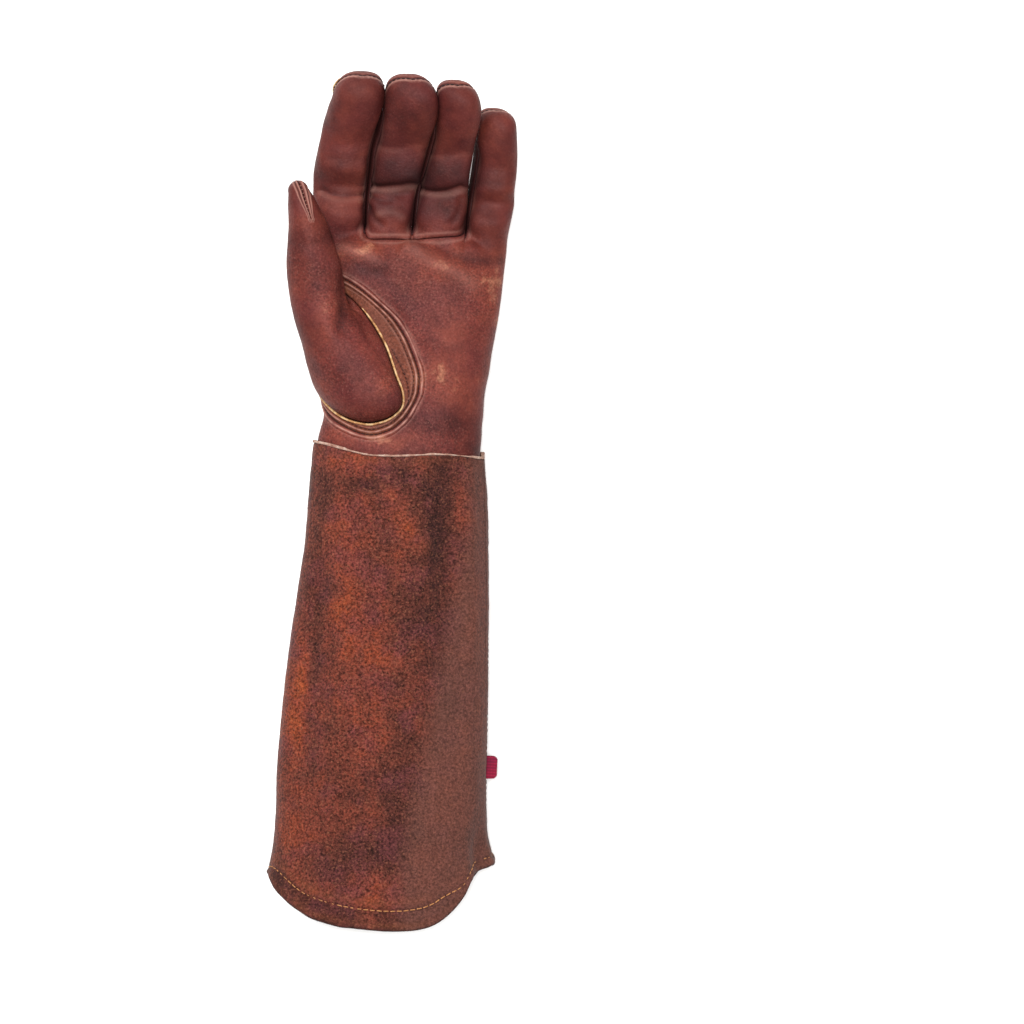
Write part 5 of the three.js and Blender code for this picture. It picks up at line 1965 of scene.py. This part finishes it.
@dataclass
class Hand:
    """The leather hand and its seams."""

    crescent: Crescent
    wall: float = 1.3
    zigzag: float = 37.0  # its place, from the wrist seam
    zigzag_step: float = 4.8
    zigzag_height: float = 4.2  # from its middle
    gather: float = 5.2  # from one gather to the next

    def rows(self) -> Array:
        """Distances from the webs down the hand to the end inside the cuff."""
        near = BASE_SEAM - SEAM_STEPS[::-1]
        return np.concatenate([spread(-HAND.length - CUFF_OVERLAP, near[0], GRAIN_STEP * 1.1)[:-1], near])

    def finger_rows(self, index: int) -> Array:
        """Distances from the seam below the fingers up to a finger's tip."""
        near = np.concatenate([BASE_SEAM + SEAM_STEPS[:5], [-1.1, -0.5, 0.0, 0.4, 0.9, 1.5, 2.2]])
        return np.concatenate([near, SKIN.fingers[index].tip_rows(GRAIN_STEP)])

    def dressed(self, sheet: Sheet, face: Face, creases: tuple = HAND_CREASES) -> Sheet:
        """A panel with its creases, wrinkles and marks, as a closed wall.

        Args:
            sheet: the panel's skin.
            face: the side of the hand it is on.
            creases: those that cross it.

        Returns:
            The wall.
        """
        normals = sheet.normals()
        rise, dark, worn_and_highlit = press(sheet.points, normals, creases, face)
        crevice, shoulder, tip = (sheet.marks.pop(name) for name in ("crevice", "shoulder", "tip"))
        rise += 0.8 * shoulder
        rise += 0.13 * LEATHER_NOISE.at(sheet.points, 5.0)
        rise += 0.3 * LEATHER_NOISE.at(sheet.points, (15.0, 11.0, 15.0))
        edge = sheet.border_distance()
        rise -= 0.25 * bell(edge / 1.6)
        # Painted shade in the creases, in the crevices between fingers and along the seams; painted
        # highlight and some wear on the raised rims, strongest at the tips.
        sheet.marks["crease"] = np.clip(dark + 0.78 * crevice + 0.7 * bell(edge / 0.6), 0, 1)
        rim = bell((edge - 2.3) / 0.75) * (1 - 0.8 * crevice)
        sheet.marks["wear"] = np.clip(worn_and_highlit + rim * mix(0.3, 0.95, tip), 0, 1)
        sheet.marks["tone_and_shade"] = toned(sheet.points, LEATHER_TONES)
        return self.grounded(sheet.shell(self.wall, rise))

    @staticmethod
    def grounded(sheet: Sheet) -> Sheet:
        """A wall with nothing below the floor."""
        sheet.points[:, 2] = np.maximum(sheet.points[:, 2], 0.02)
        return sheet

    def palm(self) -> Sheet:
        """Palm with the fronts of the index and little fingers.

        Returns:
            The closed wall, with its turned edge.
        """
        strips = [SKIN.sheet(i, Face.PALM, self.rows()) for i in range(4)]
        strips += [SKIN.sheet(i, Face.PALM, self.finger_rows(i)) for i in (0, 3)]
        sheet = Sheet.joined(*strips)
        sheet = sheet.clipped(self.crescent.outside(sheet) - 0.3)
        panel = self.dressed(sheet, Face.PALM)
        band = self.crescent.turned_edge()
        keep = ("crease", "wear", "tone_and_shade")
        parts = [Sheet(s.points, s.faces, {k: s.marks[k] for k in keep}) for s in (panel, band)]
        return Sheet.joined(*parts, weld=False)

    def middle_ring(self) -> Sheet:
        """Fronts of the middle and ring fingers."""
        strips = [SKIN.sheet(i, Face.PALM, self.finger_rows(i)) for i in (1, 2)]
        return self.dressed(Sheet.joined(*strips), Face.PALM)

    def back(self) -> Sheet:
        """Back of the hand and fingers, drawn in along the zigzag at the wrist.

        Returns:
            The closed wall.
        """
        strips = []
        for i in range(4):
            strips += [SKIN.sheet(i, Face.BACK, rows) for rows in (self.rows(), self.finger_rows(i))]
        sheet = Sheet.joined(*strips)
        x, y = sheet.points[:, 0], sheet.points[:, 1]
        normals = sheet.normals()
        rise = np.zeros(len(x))
        behind = ease(-normals[:, 2] * 3)
        gathers = np.cos(x * math.tau / self.gather) * (bell((y - 25) / 9) + bell((y - 49) / 9))
        rise += behind * (0.35 * gathers - 0.9 * bell((y - self.zigzag) / 7))
        rise += 0.13 * LEATHER_NOISE.at(sheet.points, 5.0) + 0.3 * LEATHER_NOISE.at(sheet.points, 14.0)
        edge = sheet.border_distance()
        rise -= 0.25 * bell(edge / 1.6)
        # Painted shade between the gathers and along the seams; painted highlight and some wear on the
        # rims.
        shade = behind * bell((y - self.zigzag) / 10) * (0.25 - 0.25 * np.cos(x * math.tau / self.gather))
        sheet.marks["crease"] = np.clip(shade + 0.75 * bell(edge / 0.85), 0, 1)
        sheet.marks["wear"] = 0.3 * bell((edge - 1.9) / 0.8)
        sheet.marks["tone_and_shade"] = 0.2 + 0.2 * LEATHER_NOISE.at(sheet.points, 30.0)
        return self.grounded(sheet.shell(self.wall, rise))

    def fork(self, index: int) -> Sheet:
        """The strip between two fingers.

        Args:
            index: the first of them.

        Returns:
            The closed wall.
        """
        sheet = Sheet.joined(SKIN.fork_sheet(index, Side.LITTLE), SKIN.fork_sheet(index + 1, Side.THUMB))
        edge = sheet.border_distance()
        gap = FINGER_LINES.read(f"g{index + 1}", sheet.marks["v"] / FINGER_LENGTH) * HAND.width
        closed = 1 - ease(gap / 0.5)
        # Painted shade: the whole strip between two fingers is darkened, as the gap between them lies in
        # shade.
        for mark, value in (("crease", 0.85), ("wear", 0.0), ("tone_and_shade", -0.3)):
            sheet.marks[mark] = np.full(len(edge), value)
        return self.grounded(sheet.shell(self.wall, mix(-0.12, 0.3, closed) - 0.25 * bell(edge / 1.4)))

    def tip_lines(self) -> Lines:
        """Lines just inside the seams over the fingertips.

        Returns:
            Points and outward directions of each line.
        """
        lines = []
        for i, finger in enumerate(SKIN.fingers):
            turn = np.linspace(0.05, math.pi / 2, 26)
            cap = finger.length - finger.cap + finger.cap * np.sin(turn) ** (2 / TIP_ROUND)
            s = np.concatenate([spread(finger.length * FORK_END - 2, cap[0], 1.0)[:-1], cap])
            sides = [SKIN.strip(i, Face.PALM, s, t) for t in (0.0, 1.0)]
            seam = np.concatenate([sides[0], sides[1][-2::-1]])
            slope = finger.slope(np.concatenate([s, s[-2::-1]]))
            front = stack(0 * slope, -np.sin(slope), np.cos(slope))
            middle = finger.skin(np.array(finger.length * 0.8), np.array(90.0)) - np.array((0, 0, 10.0))
            out = unit(seam - middle)
            out = unit(out - front * np.sum(out * front, axis=1, keepdims=True))
            lines.append((seam + 1.2 * front - 0.1 * out, unit(out + 0.3 * front)))
        return lines

    def zigzag_line(self) -> Lines:
        """The zigzag across the back at the wrist.

        Returns:
            Points and outward directions of each line.
        """
        corners = np.arange(-34.0, 38.0, self.zigzag_step)
        high = np.where(np.arange(len(corners)) % 2, self.zigzag_height, -self.zigzag_height)
        x, y = [], []
        for i in range(len(corners) - 1):
            for u in np.linspace(0, 1, 6)[: 6 if i == len(corners) - 2 else 5]:
                x.append(mix(corners[i], corners[i + 1], u))
                y.append(self.zigzag + mix(high[i], high[i + 1], u))
        x, y = np.array(x), np.array(y)
        angle = HAND.angle_at(x, y, Face.BACK)
        points, normal = HAND.skin(y, angle), HAND.normal(y, angle)
        points[:, 2] = np.maximum(on_floor(points[:, 2]) + 0.75, 0.3)
        return [(points, normal)]


@dataclass
class Cuff:
    """The wide suede cuff with its folded hem."""

    length: float = 212.0
    hem_dip: float = 39.0
    opening: tuple[float, float] = (119.5, 70.0)
    wall: float = 1.8
    clearance: float = 0.8
    hem_fold: float = 11.0
    hem_stitch: float = 10.8
    side_fold: float = 17.0  # angle of the line of the folded side seam
    outline: Table = Table(
        ("along", "thumb", "little", "palm", "back"),
        (
            (0.0, 0.0, 0.0, 0.0, 0.0),
            (0.08, 0.05, 0.13, 0.12, 0.5),
            (0.2, 0.09, 0.24, 0.25, 0.9),
            (0.32, 0.28, 0.34, 0.38, 1.0),
            (0.46, 0.5, 0.46, 0.52, 1.0),
            (0.6, 0.66, 0.54, 0.66, 1.0),
            (0.74, 0.77, 0.6, 0.8, 1.0),
            (0.86, 0.76, 0.66, 0.9, 1.0),
            (0.93, 0.8, 0.74, 0.95, 1.0),
            (1.0, 1.0, 1.08, 1.0, 1.0),
        ),
    )
    hem: Table = Table(
        ("around", "reach"),
        (
            (0, 0.1), (14, 0.13), (27, 0.2), (38, 0.34), (44, 0.52),
            (55, 0.8), (66, 0.94), (84, 1.0), (108, 0.96), (130, 0.83),
            (146, 0.64), (164, 0.42), (180, 0.37), (196, 0.43), (220, 0.7),
            (250, 0.9), (284, 0.92), (308, 0.6), (328, 0.17), (346, 0.08),
        ),
        turn=360.0,
    )
    # the upper panel's cut edge: place across, and how far it lies towards the fingers
    top: Table = Table(
        ("across", "rise"),
        (
            (-46, 2.8), (-38, 1.4), (-30, -0.3), (-22, -2.0), (-14, -3.2),
            (2, -3.0), (12, -2.0), (22, -1.2), (34, -1.3), (43, -2.0),
        ),
    )
    # soft folds: around, along, rise, turn, long
    folds: Rows = (
        (24, 1.0, -0.085, 11, 0.1),
        (48, 0.35, -0.03, 14, 0.3),
        (78, 0.3, 0.02, 16, 0.26),
        (138, 0.55, -0.028, 12, 0.34),
        (108, 0.8, -0.022, 22, 0.12),
        (318, 0.6, -0.03, 12, 0.3),
    )

    def reach(self, angle: Array) -> Array:
        """Length of the cuff at angles round it."""
        return self.length + self.hem.read("reach", angle) * self.hem_dip

    def top_rise(self, x: Array, angle: Array) -> Array:
        """How far the cut edge lies towards the fingers."""
        front = (angle < HAND.piped_seam) | (angle > 360 + HAND.side_seam)
        return np.where(front, self.top.read("rise", x), mix(0.8, 1.6, (45 - x) / 91))

    def hem_inset(self, angle: Array) -> Array:
        """Distance of the hem's stitches from its edge, less at both corners.

        Args:
            angle: angles round the cuff.

        Returns:
            The distances.
        """
        turn = np.mod(angle + 180, 360) - 180
        corner = 6.0 * ease((56 - turn) / 16) * ease((turn + 30) / 20)
        turn = np.mod(angle, 360)
        return self.hem_stitch - corner - 7.0 * ease((turn - 146) / 32) * ease((232 - turn) / 30)

    def skin(self, v: Array | float, angle: Array | float) -> Array:
        """Outside of the cuff.

        Args:
            v: 0 at the wrist to 1 at the hem.
            angle: angles round the section.

        Returns:
            The points.
        """
        v, angle = paired(v, angle)
        along = np.minimum(v, 1)
        margin = self.clearance + self.wall
        centre, middle, a, b = HAND.section(0.0)
        wide, deep = self.opening
        shift = 0.006 * wide
        part = {c: self.outline.read(c, along) for c in self.outline.columns[1:]}
        left = mix(centre - a - margin, shift - wide / 2, part["thumb"])
        right = mix(centre + a + margin, shift + wide / 2, part["little"])
        top = mix(middle + b + margin, deep, part["palm"])
        bottom = mix(middle - b - margin, -FLAT * 1.6, part["back"])
        rise = np.zeros(v.shape)
        for around, at, height, turn, long in self.folds:
            off = np.mod(angle - around + 180, 360) - 180
            rise = rise + height * deep * bell(off / turn) * bell((along - at) / long)
        across, up = oval(angle)
        x = (left + right) / 2 + across * (right - left) / 2 + rise * np.cos(np.radians(angle))
        z = (top + bottom) / 2 + up * (top - bottom) / 2 + rise * np.sin(np.radians(angle))
        top = self.top_rise(x, angle) * ease(1 - v * self.length / 28)
        return stack(x, top - v * self.reach(angle), on_floor(z))

    def normal(self, v: Array, angle: Array | float) -> Array:
        """Outward directions of the cuff.

        Args:
            v: 0 at the wrist to 1 at the hem.
            angle: angles round the section.

        Returns:
            The directions.
        """
        around = self.skin(v, angle + 0.5) - self.skin(v, angle - 0.5)
        along = self.skin(v + 0.003, angle) - self.skin(v - 0.003, angle)
        return unit(np.cross(around, along))

    def panel(self, start: float, end: float, face: Face) -> Sheet:
        """One panel between two side seams, as a closed wall.

        Args:
            start: angle of its first seam.
            end: angle of its second seam.
            face: the side of the cuff that it is on.

        Returns:
            The wall.
        """
        arc = (end - start) * 0.98
        angles = start + (end - start) * seamed(arc, SUEDE_STEP)
        whole = 240.0  # about the cuff's length with its dip
        even = spread(2.9 / whole, 1 - 16 / whole, SUEDE_STEP / whole)
        low = np.array((15, 14, 13, 12, 11.3, 10.7, 10.2, 9.7, 9.2, 8.6, 8, 7, 6, 5, 4, 3))
        near = SEAM_STEPS / whole
        rows = np.concatenate([near, even, 1 - low / whole, 1 - near[::-1]])
        v, angle = np.meshgrid(rows, angles, indexing="ij")
        points = self.skin(v, angle)
        wavy = 0.7 * SUEDE_NOISE.at(stack(angle * 0.9, 0 * v, 0 * v + 3.3), 7.0) * ease((v - 0.9) / 0.1)
        points[..., 1] -= wavy
        from_hem = (1 - v) * self.reach(angle)
        sheet = Sheet.joined(Sheet.grid(points, False, v=v, hem=from_hem, angle=angle))
        normals = sheet.normals()
        hem, round_angle = sheet.marks.pop("hem"), sheet.marks.pop("angle")
        rise, dark, worn_and_highlit = press(sheet.points, normals, CUFF_CREASES, Face.PALM)
        noise = SUEDE_NOISE.at
        inset = self.hem_inset(round_angle)
        rise += 0.10 * noise(sheet.points, 1.6) + 0.16 * noise(sheet.points, 4.5)
        drape = 0.5 * noise(sheet.points, (13.0, 34.0, 13.0))
        rise += drape + 0.22 * noise(sheet.points, (5.0, 24.0, 5.0))
        pucker = 0.5 + 0.5 * np.cos(round_angle * 0.98 * math.tau / 3.5)
        rise -= (0.45 + 0.3 * pucker) * bell((hem - inset) / 1.1)
        rise += 0.28 * bell((hem - inset / 2) / 3.2)
        seam = (round_angle - self.side_fold) * 0.8
        shown = (face > 0) * ease((sheet.points[:, 1] + 150) / 40)
        rise += shown * (0.35 * bell((np.abs(seam) - 1.3) / 0.7) - 0.6 * bell(seam / 0.45))
        wall = self.wall * (1 + ease((self.hem_fold - hem) / 1.2 + 1))
        edge = sheet.border_distance()
        rise -= 0.3 * bell(edge / 2.0) * (hem > 4)
        side = (sheet.marks["v"] > 0.01) & (hem > 3)
        # Painted shade under the hem's edge, in the hem's stitch groove, along the outline at both sides
        # and on the folded seam.
        under = 0.9 * bell(hem / 0.8) + 0.35 * bell((hem - inset) / 0.9)
        line = 0.4 * (bell(round_angle / 5) + bell((round_angle - 180) / 4))
        line = 0.7 * shown * bell(seam / 0.5) + line
        sheet.marks["crease"] = np.clip(0.6 * dark + 0.8 * bell(edge / 0.9) * side + under + line, 0, 1)
        x = sheet.points[:, 0]
        # Painted highlight on the ridges above the hem and beside the seam, with some real wear along the
        # edges.
        wear = 0.55 * bell((hem - inset - 4) / 2.4) + 0.25 * bell((hem - 3.0) / 1.6)
        wear = wear + 0.3 * bell((edge - 3.0) / 2.0) + worn_and_highlit + 0.6 * shown * bell((seam + 1.4) / 0.6)
        wear = wear * (0.6 + 0.4 * noise(sheet.points, 12.0))
        sheet.marks["wear"] = wear * mix(1, 0.35, ease((x - 10) / 30))
        tones = toned(sheet.points, SUEDE_TONES) if face > 0 else 0.3 * noise(sheet.points, 30.0)
        sheet.marks["tone_and_shade"] = tones - 0.6 * ease(inset - hem)
        smooth_from = mix(32, 6, np.clip((-sheet.points[:, 1] - 40) / 170, 0, 1))
        sheet.marks["flat"] = ease((x - smooth_from) / 14) if face > 0 else 0.2 * np.ones(len(x))
        shell = sheet.shell(wall, rise)
        inside = len(sheet.points)
        shell.marks["flat"][inside:] = 0.8
        shell.marks["tone_and_shade"][inside:] = 0.0
        return Hand.grounded(shell)

    def cut_edge(self) -> Sheet:
        """The raw edge along the cuff's top, a little wavy and frayed.

        Returns:
            The edge as a closed bar.
        """
        angles = np.linspace(0, 360, 401)[:, None]
        turn = np.radians(np.linspace(0, 360, 13))[None, :]
        outer = self.skin(0.0, angles)
        around = (self.skin(0.0, angles + 1) - self.skin(0.0, angles - 1))[:, 0]
        out = unit(np.cross(around, np.array((0.0, -1.0, 0.0))))[:, None]
        across, high = np.cos(turn), np.sin(turn)
        square = (np.abs(across) ** 4 + np.abs(high) ** 4) ** -0.25
        across, high = across * square, high * square
        wave = SUEDE_NOISE.at(outer[:, 0] * np.array((1.0, 0.0, 1.0)) + 5.5, 6.0)[:, None]
        fray = SUEDE_NOISE.at(outer[:, 0] * np.array((1.0, 0.0, 1.0)) + 9.5, 1.7)[:, None]
        wave[-1], fray[-1] = wave[0], fray[0]
        deep = -self.wall / 2 + across * (self.wall / 2 + 0.12 + 0.1 * fray)
        y = 0.35 + high * (0.55 + 0.12 * wave) + (0.3 * wave + 0.14 * fray) * (high > -0.2)
        points = outer + out * deep[..., None]
        points[..., 1] += y
        return Hand.grounded(Sheet.joined(Sheet.grid(points, True)))

    def hem_line(self) -> Lines:
        """The line of the hem's stitches, all round.

        Returns:
            Points and outward directions of each line.
        """
        angle = np.linspace(-7, 352, 420)
        v = 1 - self.hem_inset(angle) / self.reach(angle)
        normal = self.normal(v, angle)
        points = self.skin(v, angle) - normal * 0.4
        points[:, 2] = np.maximum(points[:, 2], 0.35)
        return [(points, normal)]

    def side_lines(self) -> Lines:
        """Lines of stitches beside the side seams.

        Returns:
            Points and outward directions of each line.
        """
        lines = []
        v = np.linspace(0.02, 0.93, 240)
        for angle in (HAND.side_seam + 2.3, HAND.piped_seam - 2.3):
            normal = self.normal(v, angle)
            points = self.skin(v, angle) - normal * 0.12
            points[:, 2] = np.maximum(points[:, 2], 0.3)
            lines.append((points, normal))
        return lines


@dataclass
class Trim:
    """The two welts and the ribbon tab."""

    crescent: Crescent
    cuff: Cuff
    radius: float = 0.58
    tab_length: float = 12.5
    tab_reach: float = 6.6
    ribbon: float = 0.7
    tab_place: float = 0.766

    def thumb_welt(self) -> Sheet:
        """Welt between the thumb's root and the crescent.

        Returns:
            The welt as a closed bar.
        """
        first, last = -46, 193
        around = np.linspace(first, last, 300)
        y, angle = self.crescent.mark(around, 0.0)
        normal = HAND.normal(y, angle)
        away = self.crescent.point(around, 1.0) - self.crescent.point(around, 0.0)
        away = unit(away - normal * np.sum(away * normal, axis=1, keepdims=True))
        path = HAND.skin(y, angle) + normal * 0.6 + away * 1.05
        ends = np.minimum(1, np.minimum(around - first, last - around) / 10)
        radius = self.radius * (0.35 + 0.65 * ends) * (1 + 0.06 * LEATHER_NOISE.at(path, 3.0))
        return tube(path, radius)

    def back_welt(self) -> Sheet:
        """Welt in the seam along the thumb side of the back, up to the index fingertip.

        Returns:
            The welt as a closed bar.
        """
        v = np.linspace(-HAND.length + 3.5, 0.955 * SKIN.fingers[0].length, 420)
        point = SKIN.strip(0, Face.PALM, v, 0.0)
        along = SKIN.strip(0, Face.PALM, v + 0.5, 0.0) - SKIN.strip(0, Face.PALM, v - 0.5, 0.0)
        across = SKIN.strip(0, Face.PALM, v, 0.03) - SKIN.strip(0, Face.BACK, v, 0.03)
        out = unit(np.cross(across, along))
        path = point + out * 0.4
        path[:, 2] = np.maximum(path[:, 2], self.radius + 0.05)
        ends = np.minimum(1, np.minimum(v - v[0], v[-1] - v) / 6)
        return tube(path, self.radius * (0.4 + 0.6 * ends) * (1 + 0.06 * LEATHER_NOISE.at(path, 3.0)))

    def tab(self) -> Sheet:
        """Ribbon folded once, its two ends caught in the cuff's side seam.

        Returns:
            The closed ribbon.
        """
        root = self.cuff.skin(np.array(self.tab_place), np.array(0.0))
        half = self.ribbon * 0.8
        turn = np.linspace(-math.pi / 2, math.pi / 2, 13)
        straight = np.linspace(0, self.tab_reach - self.ribbon * 1.3, 9)
        bulge = 0.25 * np.sin(straight / straight[-1] * math.pi)
        x = np.concatenate([straight, straight[-1] + np.cos(turn[1:-1]) * half, straight[::-1]])
        z = np.concatenate([-half - bulge, np.sin(turn[1:-1]) * half, half + bulge[::-1]])
        y = np.linspace(0.5, -0.5, 46)[None, :]
        droop = 0.35 * np.sin(y * 5.0) * (x[:, None] / self.tab_reach)
        tuck = -0.8  # how far its ends lie in the seam
        share = x[:, None] / self.tab_reach
        taper = 1 - 0.04 * share - 0.3 * np.clip((share - 0.62) / 0.38, 0, 1) ** 2
        across, up = root[0] + tuck + x[:, None] + 0 * y, root[2] + z[:, None] + droop
        points = stack(across, root[1] + y * self.tab_length * taper + 0.6, up)
        sheet = Sheet.joined(Sheet.grid(points, True))
        ribs = 0.05 * np.cos(sheet.points[:, 1] * math.tau / 0.8)
        return sheet.shell(self.ribbon * 0.85, ribs, 0.3)


@dataclass
class Gauntlet:
    """The whole glove, built piece by piece."""

    shop: Workshop
    crescent: Crescent = field(default_factory=Crescent)
    cuff: Cuff = field(default_factory=Cuff)

    def build_hand(self) -> None:
        """Makes the leather pieces."""
        hand = Hand(self.crescent)
        pieces = (
            ("palm_leather", hand.palm(), "palm_panel"),
            ("middle_ring_leather", hand.middle_ring(), "middle_ring_front"),
            ("back_leather", hand.back(), "back_panel"),
            ("fork_index_middle_leather", hand.fork(0), "fork_index_middle"),
            ("fork_middle_ring_leather", hand.fork(1), "fork_middle_ring"),
            ("fork_ring_little_leather", hand.fork(2), "fork_ring_little"),
            ("crescent_leather", self.crescent.piece(), "thumb_crescent"),
            ("thumb_leather", Thumb(self.crescent).piece(), "thumb"),
        )
        for name, sheet, node in pieces:
            material = "tan_leather" if name == "crescent_leather" else "smooth_leather"
            self.shop.place(self.shop.mesh(name, sheet, material), Slot.LEATHER, node)

    def build_cuff(self) -> None:
        """Makes the suede panels and their cut edge."""
        seams = (HAND.side_seam, HAND.piped_seam, 360 + HAND.side_seam)
        for name, node, start, end, face in (
            ("cuff_front_suede", "cuff_front", seams[0], seams[1], Face.PALM),
            ("cuff_back_suede", "cuff_back", seams[1], seams[2], Face.BACK),
        ):
            piece = self.shop.mesh(name, self.cuff.panel(start, end, face), "mottled_suede")
            self.shop.place(piece, Slot.SUEDE, node)
        edge = self.shop.mesh("frayed_cut_edge", self.cuff.cut_edge(), "raw_cut_edge")
        self.shop.place(edge, Slot.EDGE, "cuff_cut_edge")

    def build_trim(self) -> None:
        """Makes the welts and the tab."""
        trim = Trim(self.crescent, self.cuff)
        for name, sheet, material, slot, node in (
            ("thumb_welt", trim.thumb_welt(), "gold_tan_welt", Slot.WELT, "thumb_piping"),
            ("back_welt", trim.back_welt(), "gold_tan_welt", Slot.WELT, "back_piping"),
            ("ribbon_tab", trim.tab(), "woven_red_ribbon", Slot.RIBBON, "side_tab"),
        ):
            self.shop.place(self.shop.mesh(name, sheet, material), slot, node)

    def sew(self) -> None:
        """Sews the visible stitches."""
        nodes = SewingNodes()
        hand = Hand(self.crescent)
        tips = Stitch(2.5, 1.5, 0.8, 0, "brown_thread", Slot.LEATHER)
        ring = Stitch(2.4, 1.5, 0.55, 8, "dark_red_thread", Slot.LEATHER)
        cross = Stitch(1.9, 1.7, 0.45, 90, "tan_thread", Slot.LEATHER)
        zigzag = Stitch(2.0, 1.6, 0.55, 0, "brown_thread", Slot.LEATHER)
        gold = Stitch(3.5, 2.4, 0.62, 0, "gold_thread", Slot.WELT)
        plain = Stitch(3.0, 2.2, 0.45, 0, "rust_thread", Slot.SUEDE)
        crescent = self.crescent
        rows = [
            crescent.stitch_line(-70, 290, 0.35, 0.05),
            crescent.stitch_line(-45, 200, 3.2, -0.3),
            crescent.stitch_line(-13, 46, 0.0, -0.25),
        ]
        nodes.sew("fingertip_stitches", hand.tip_lines(), tips, self.shop)
        nodes.sew("crescent_stitches", rows, ring, self.shop)
        nodes.sew("thumb_tip_stitches", [Thumb(crescent).slit_line()], cross, self.shop)
        nodes.sew("wrist_zigzag_stitches", hand.zigzag_line(), zigzag, self.shop)
        nodes.sew("hem_stitches", self.cuff.hem_line(), gold, self.shop)
        nodes.sew("cuff_seam_stitches", self.cuff.side_lines(), plain, self.shop)


@dataclass(frozen=True)
class Studio:
    """Pale floor, soft lights and a camera straight above."""

    view_centre: tuple[float, float] = (0.0622, -0.0032)
    view_width: float = 0.5411  # metres across the picture at mid height
    view_height: float = 0.035
    distance: float = 2.4
    roll: float = 2.67
    sensor: float = 36.0  # its width in millimetres

    def build(self, shop: Workshop) -> None:
        """Makes the floor, the lights and the camera.

        Args:
            shop: holds the materials.
        """
        floor_mesh = bpy.data.meshes.new("floor")
        reach = 4.0
        corners = [(-reach, -reach, 0), (reach, -reach, 0), (reach, reach, 0), (-reach, reach, 0)]
        floor_mesh.from_pydata(corners, [], [(0, 1, 2, 3)])
        floor_mesh.materials.append(shop.materials["pale_floor"])
        linked("floor", floor_mesh)
        world = bpy.data.worlds.new("studio_air")
        world.use_nodes = True
        background = world.node_tree.nodes["Background"]
        background.inputs["Color"].default_value = (1.0, 1.0, 1.0, 1.0)
        background.inputs["Strength"].default_value = 0.5
        bpy.context.scene.world = world
        self.light("overhead", (0.06, 0.06, 3.2), 0.5, 98.0)
        self.light("key", (-0.75, 1.1, 1.3), 1.0, 30.0)
        self.light("fill", (0.95, 0.1, 1.25), 1.4, 4.0)
        camera = linked("camera", bpy.data.cameras.new("camera"))
        camera.location = (*self.view_centre, self.view_height + self.distance)
        camera.rotation_euler = (0, 0, math.radians(self.roll))
        camera.data.sensor_width = self.sensor
        camera.data.lens = self.sensor * self.distance / self.view_width
        camera.data.clip_end = 20.0
        bpy.context.scene.camera = camera
        bpy.context.scene.view_settings.view_transform = "Standard"

    def light(self, name: str, place: tuple[float, float, float], size: float, power: float) -> None:
        """One soft square light aimed at the glove.

        Args:
            name: of the light.
            place: where it hangs, in metres.
            size: its side.
            power: in watts.
        """
        data = bpy.data.lights.new(name, "AREA")
        data.size = size
        data.energy = power
        lamp = linked(name, data)
        lamp.location = place
        x, y, z = place
        lamp.rotation_euler = (math.atan2(math.hypot(x, y), z), 0, math.atan2(-x, y) + math.pi)


def main() -> None:
    """Builds the glove and its studio."""
    logging.basicConfig(level=logging.INFO, format="%(message)s")
    shop = Workshop()
    shop.prepare()
    gauntlet = Gauntlet(shop)
    gauntlet.build_hand()
    gauntlet.build_cuff()
    gauntlet.build_trim()
    gauntlet.sew()
    Studio().build(shop)


if __name__ == "__main__":
    main()
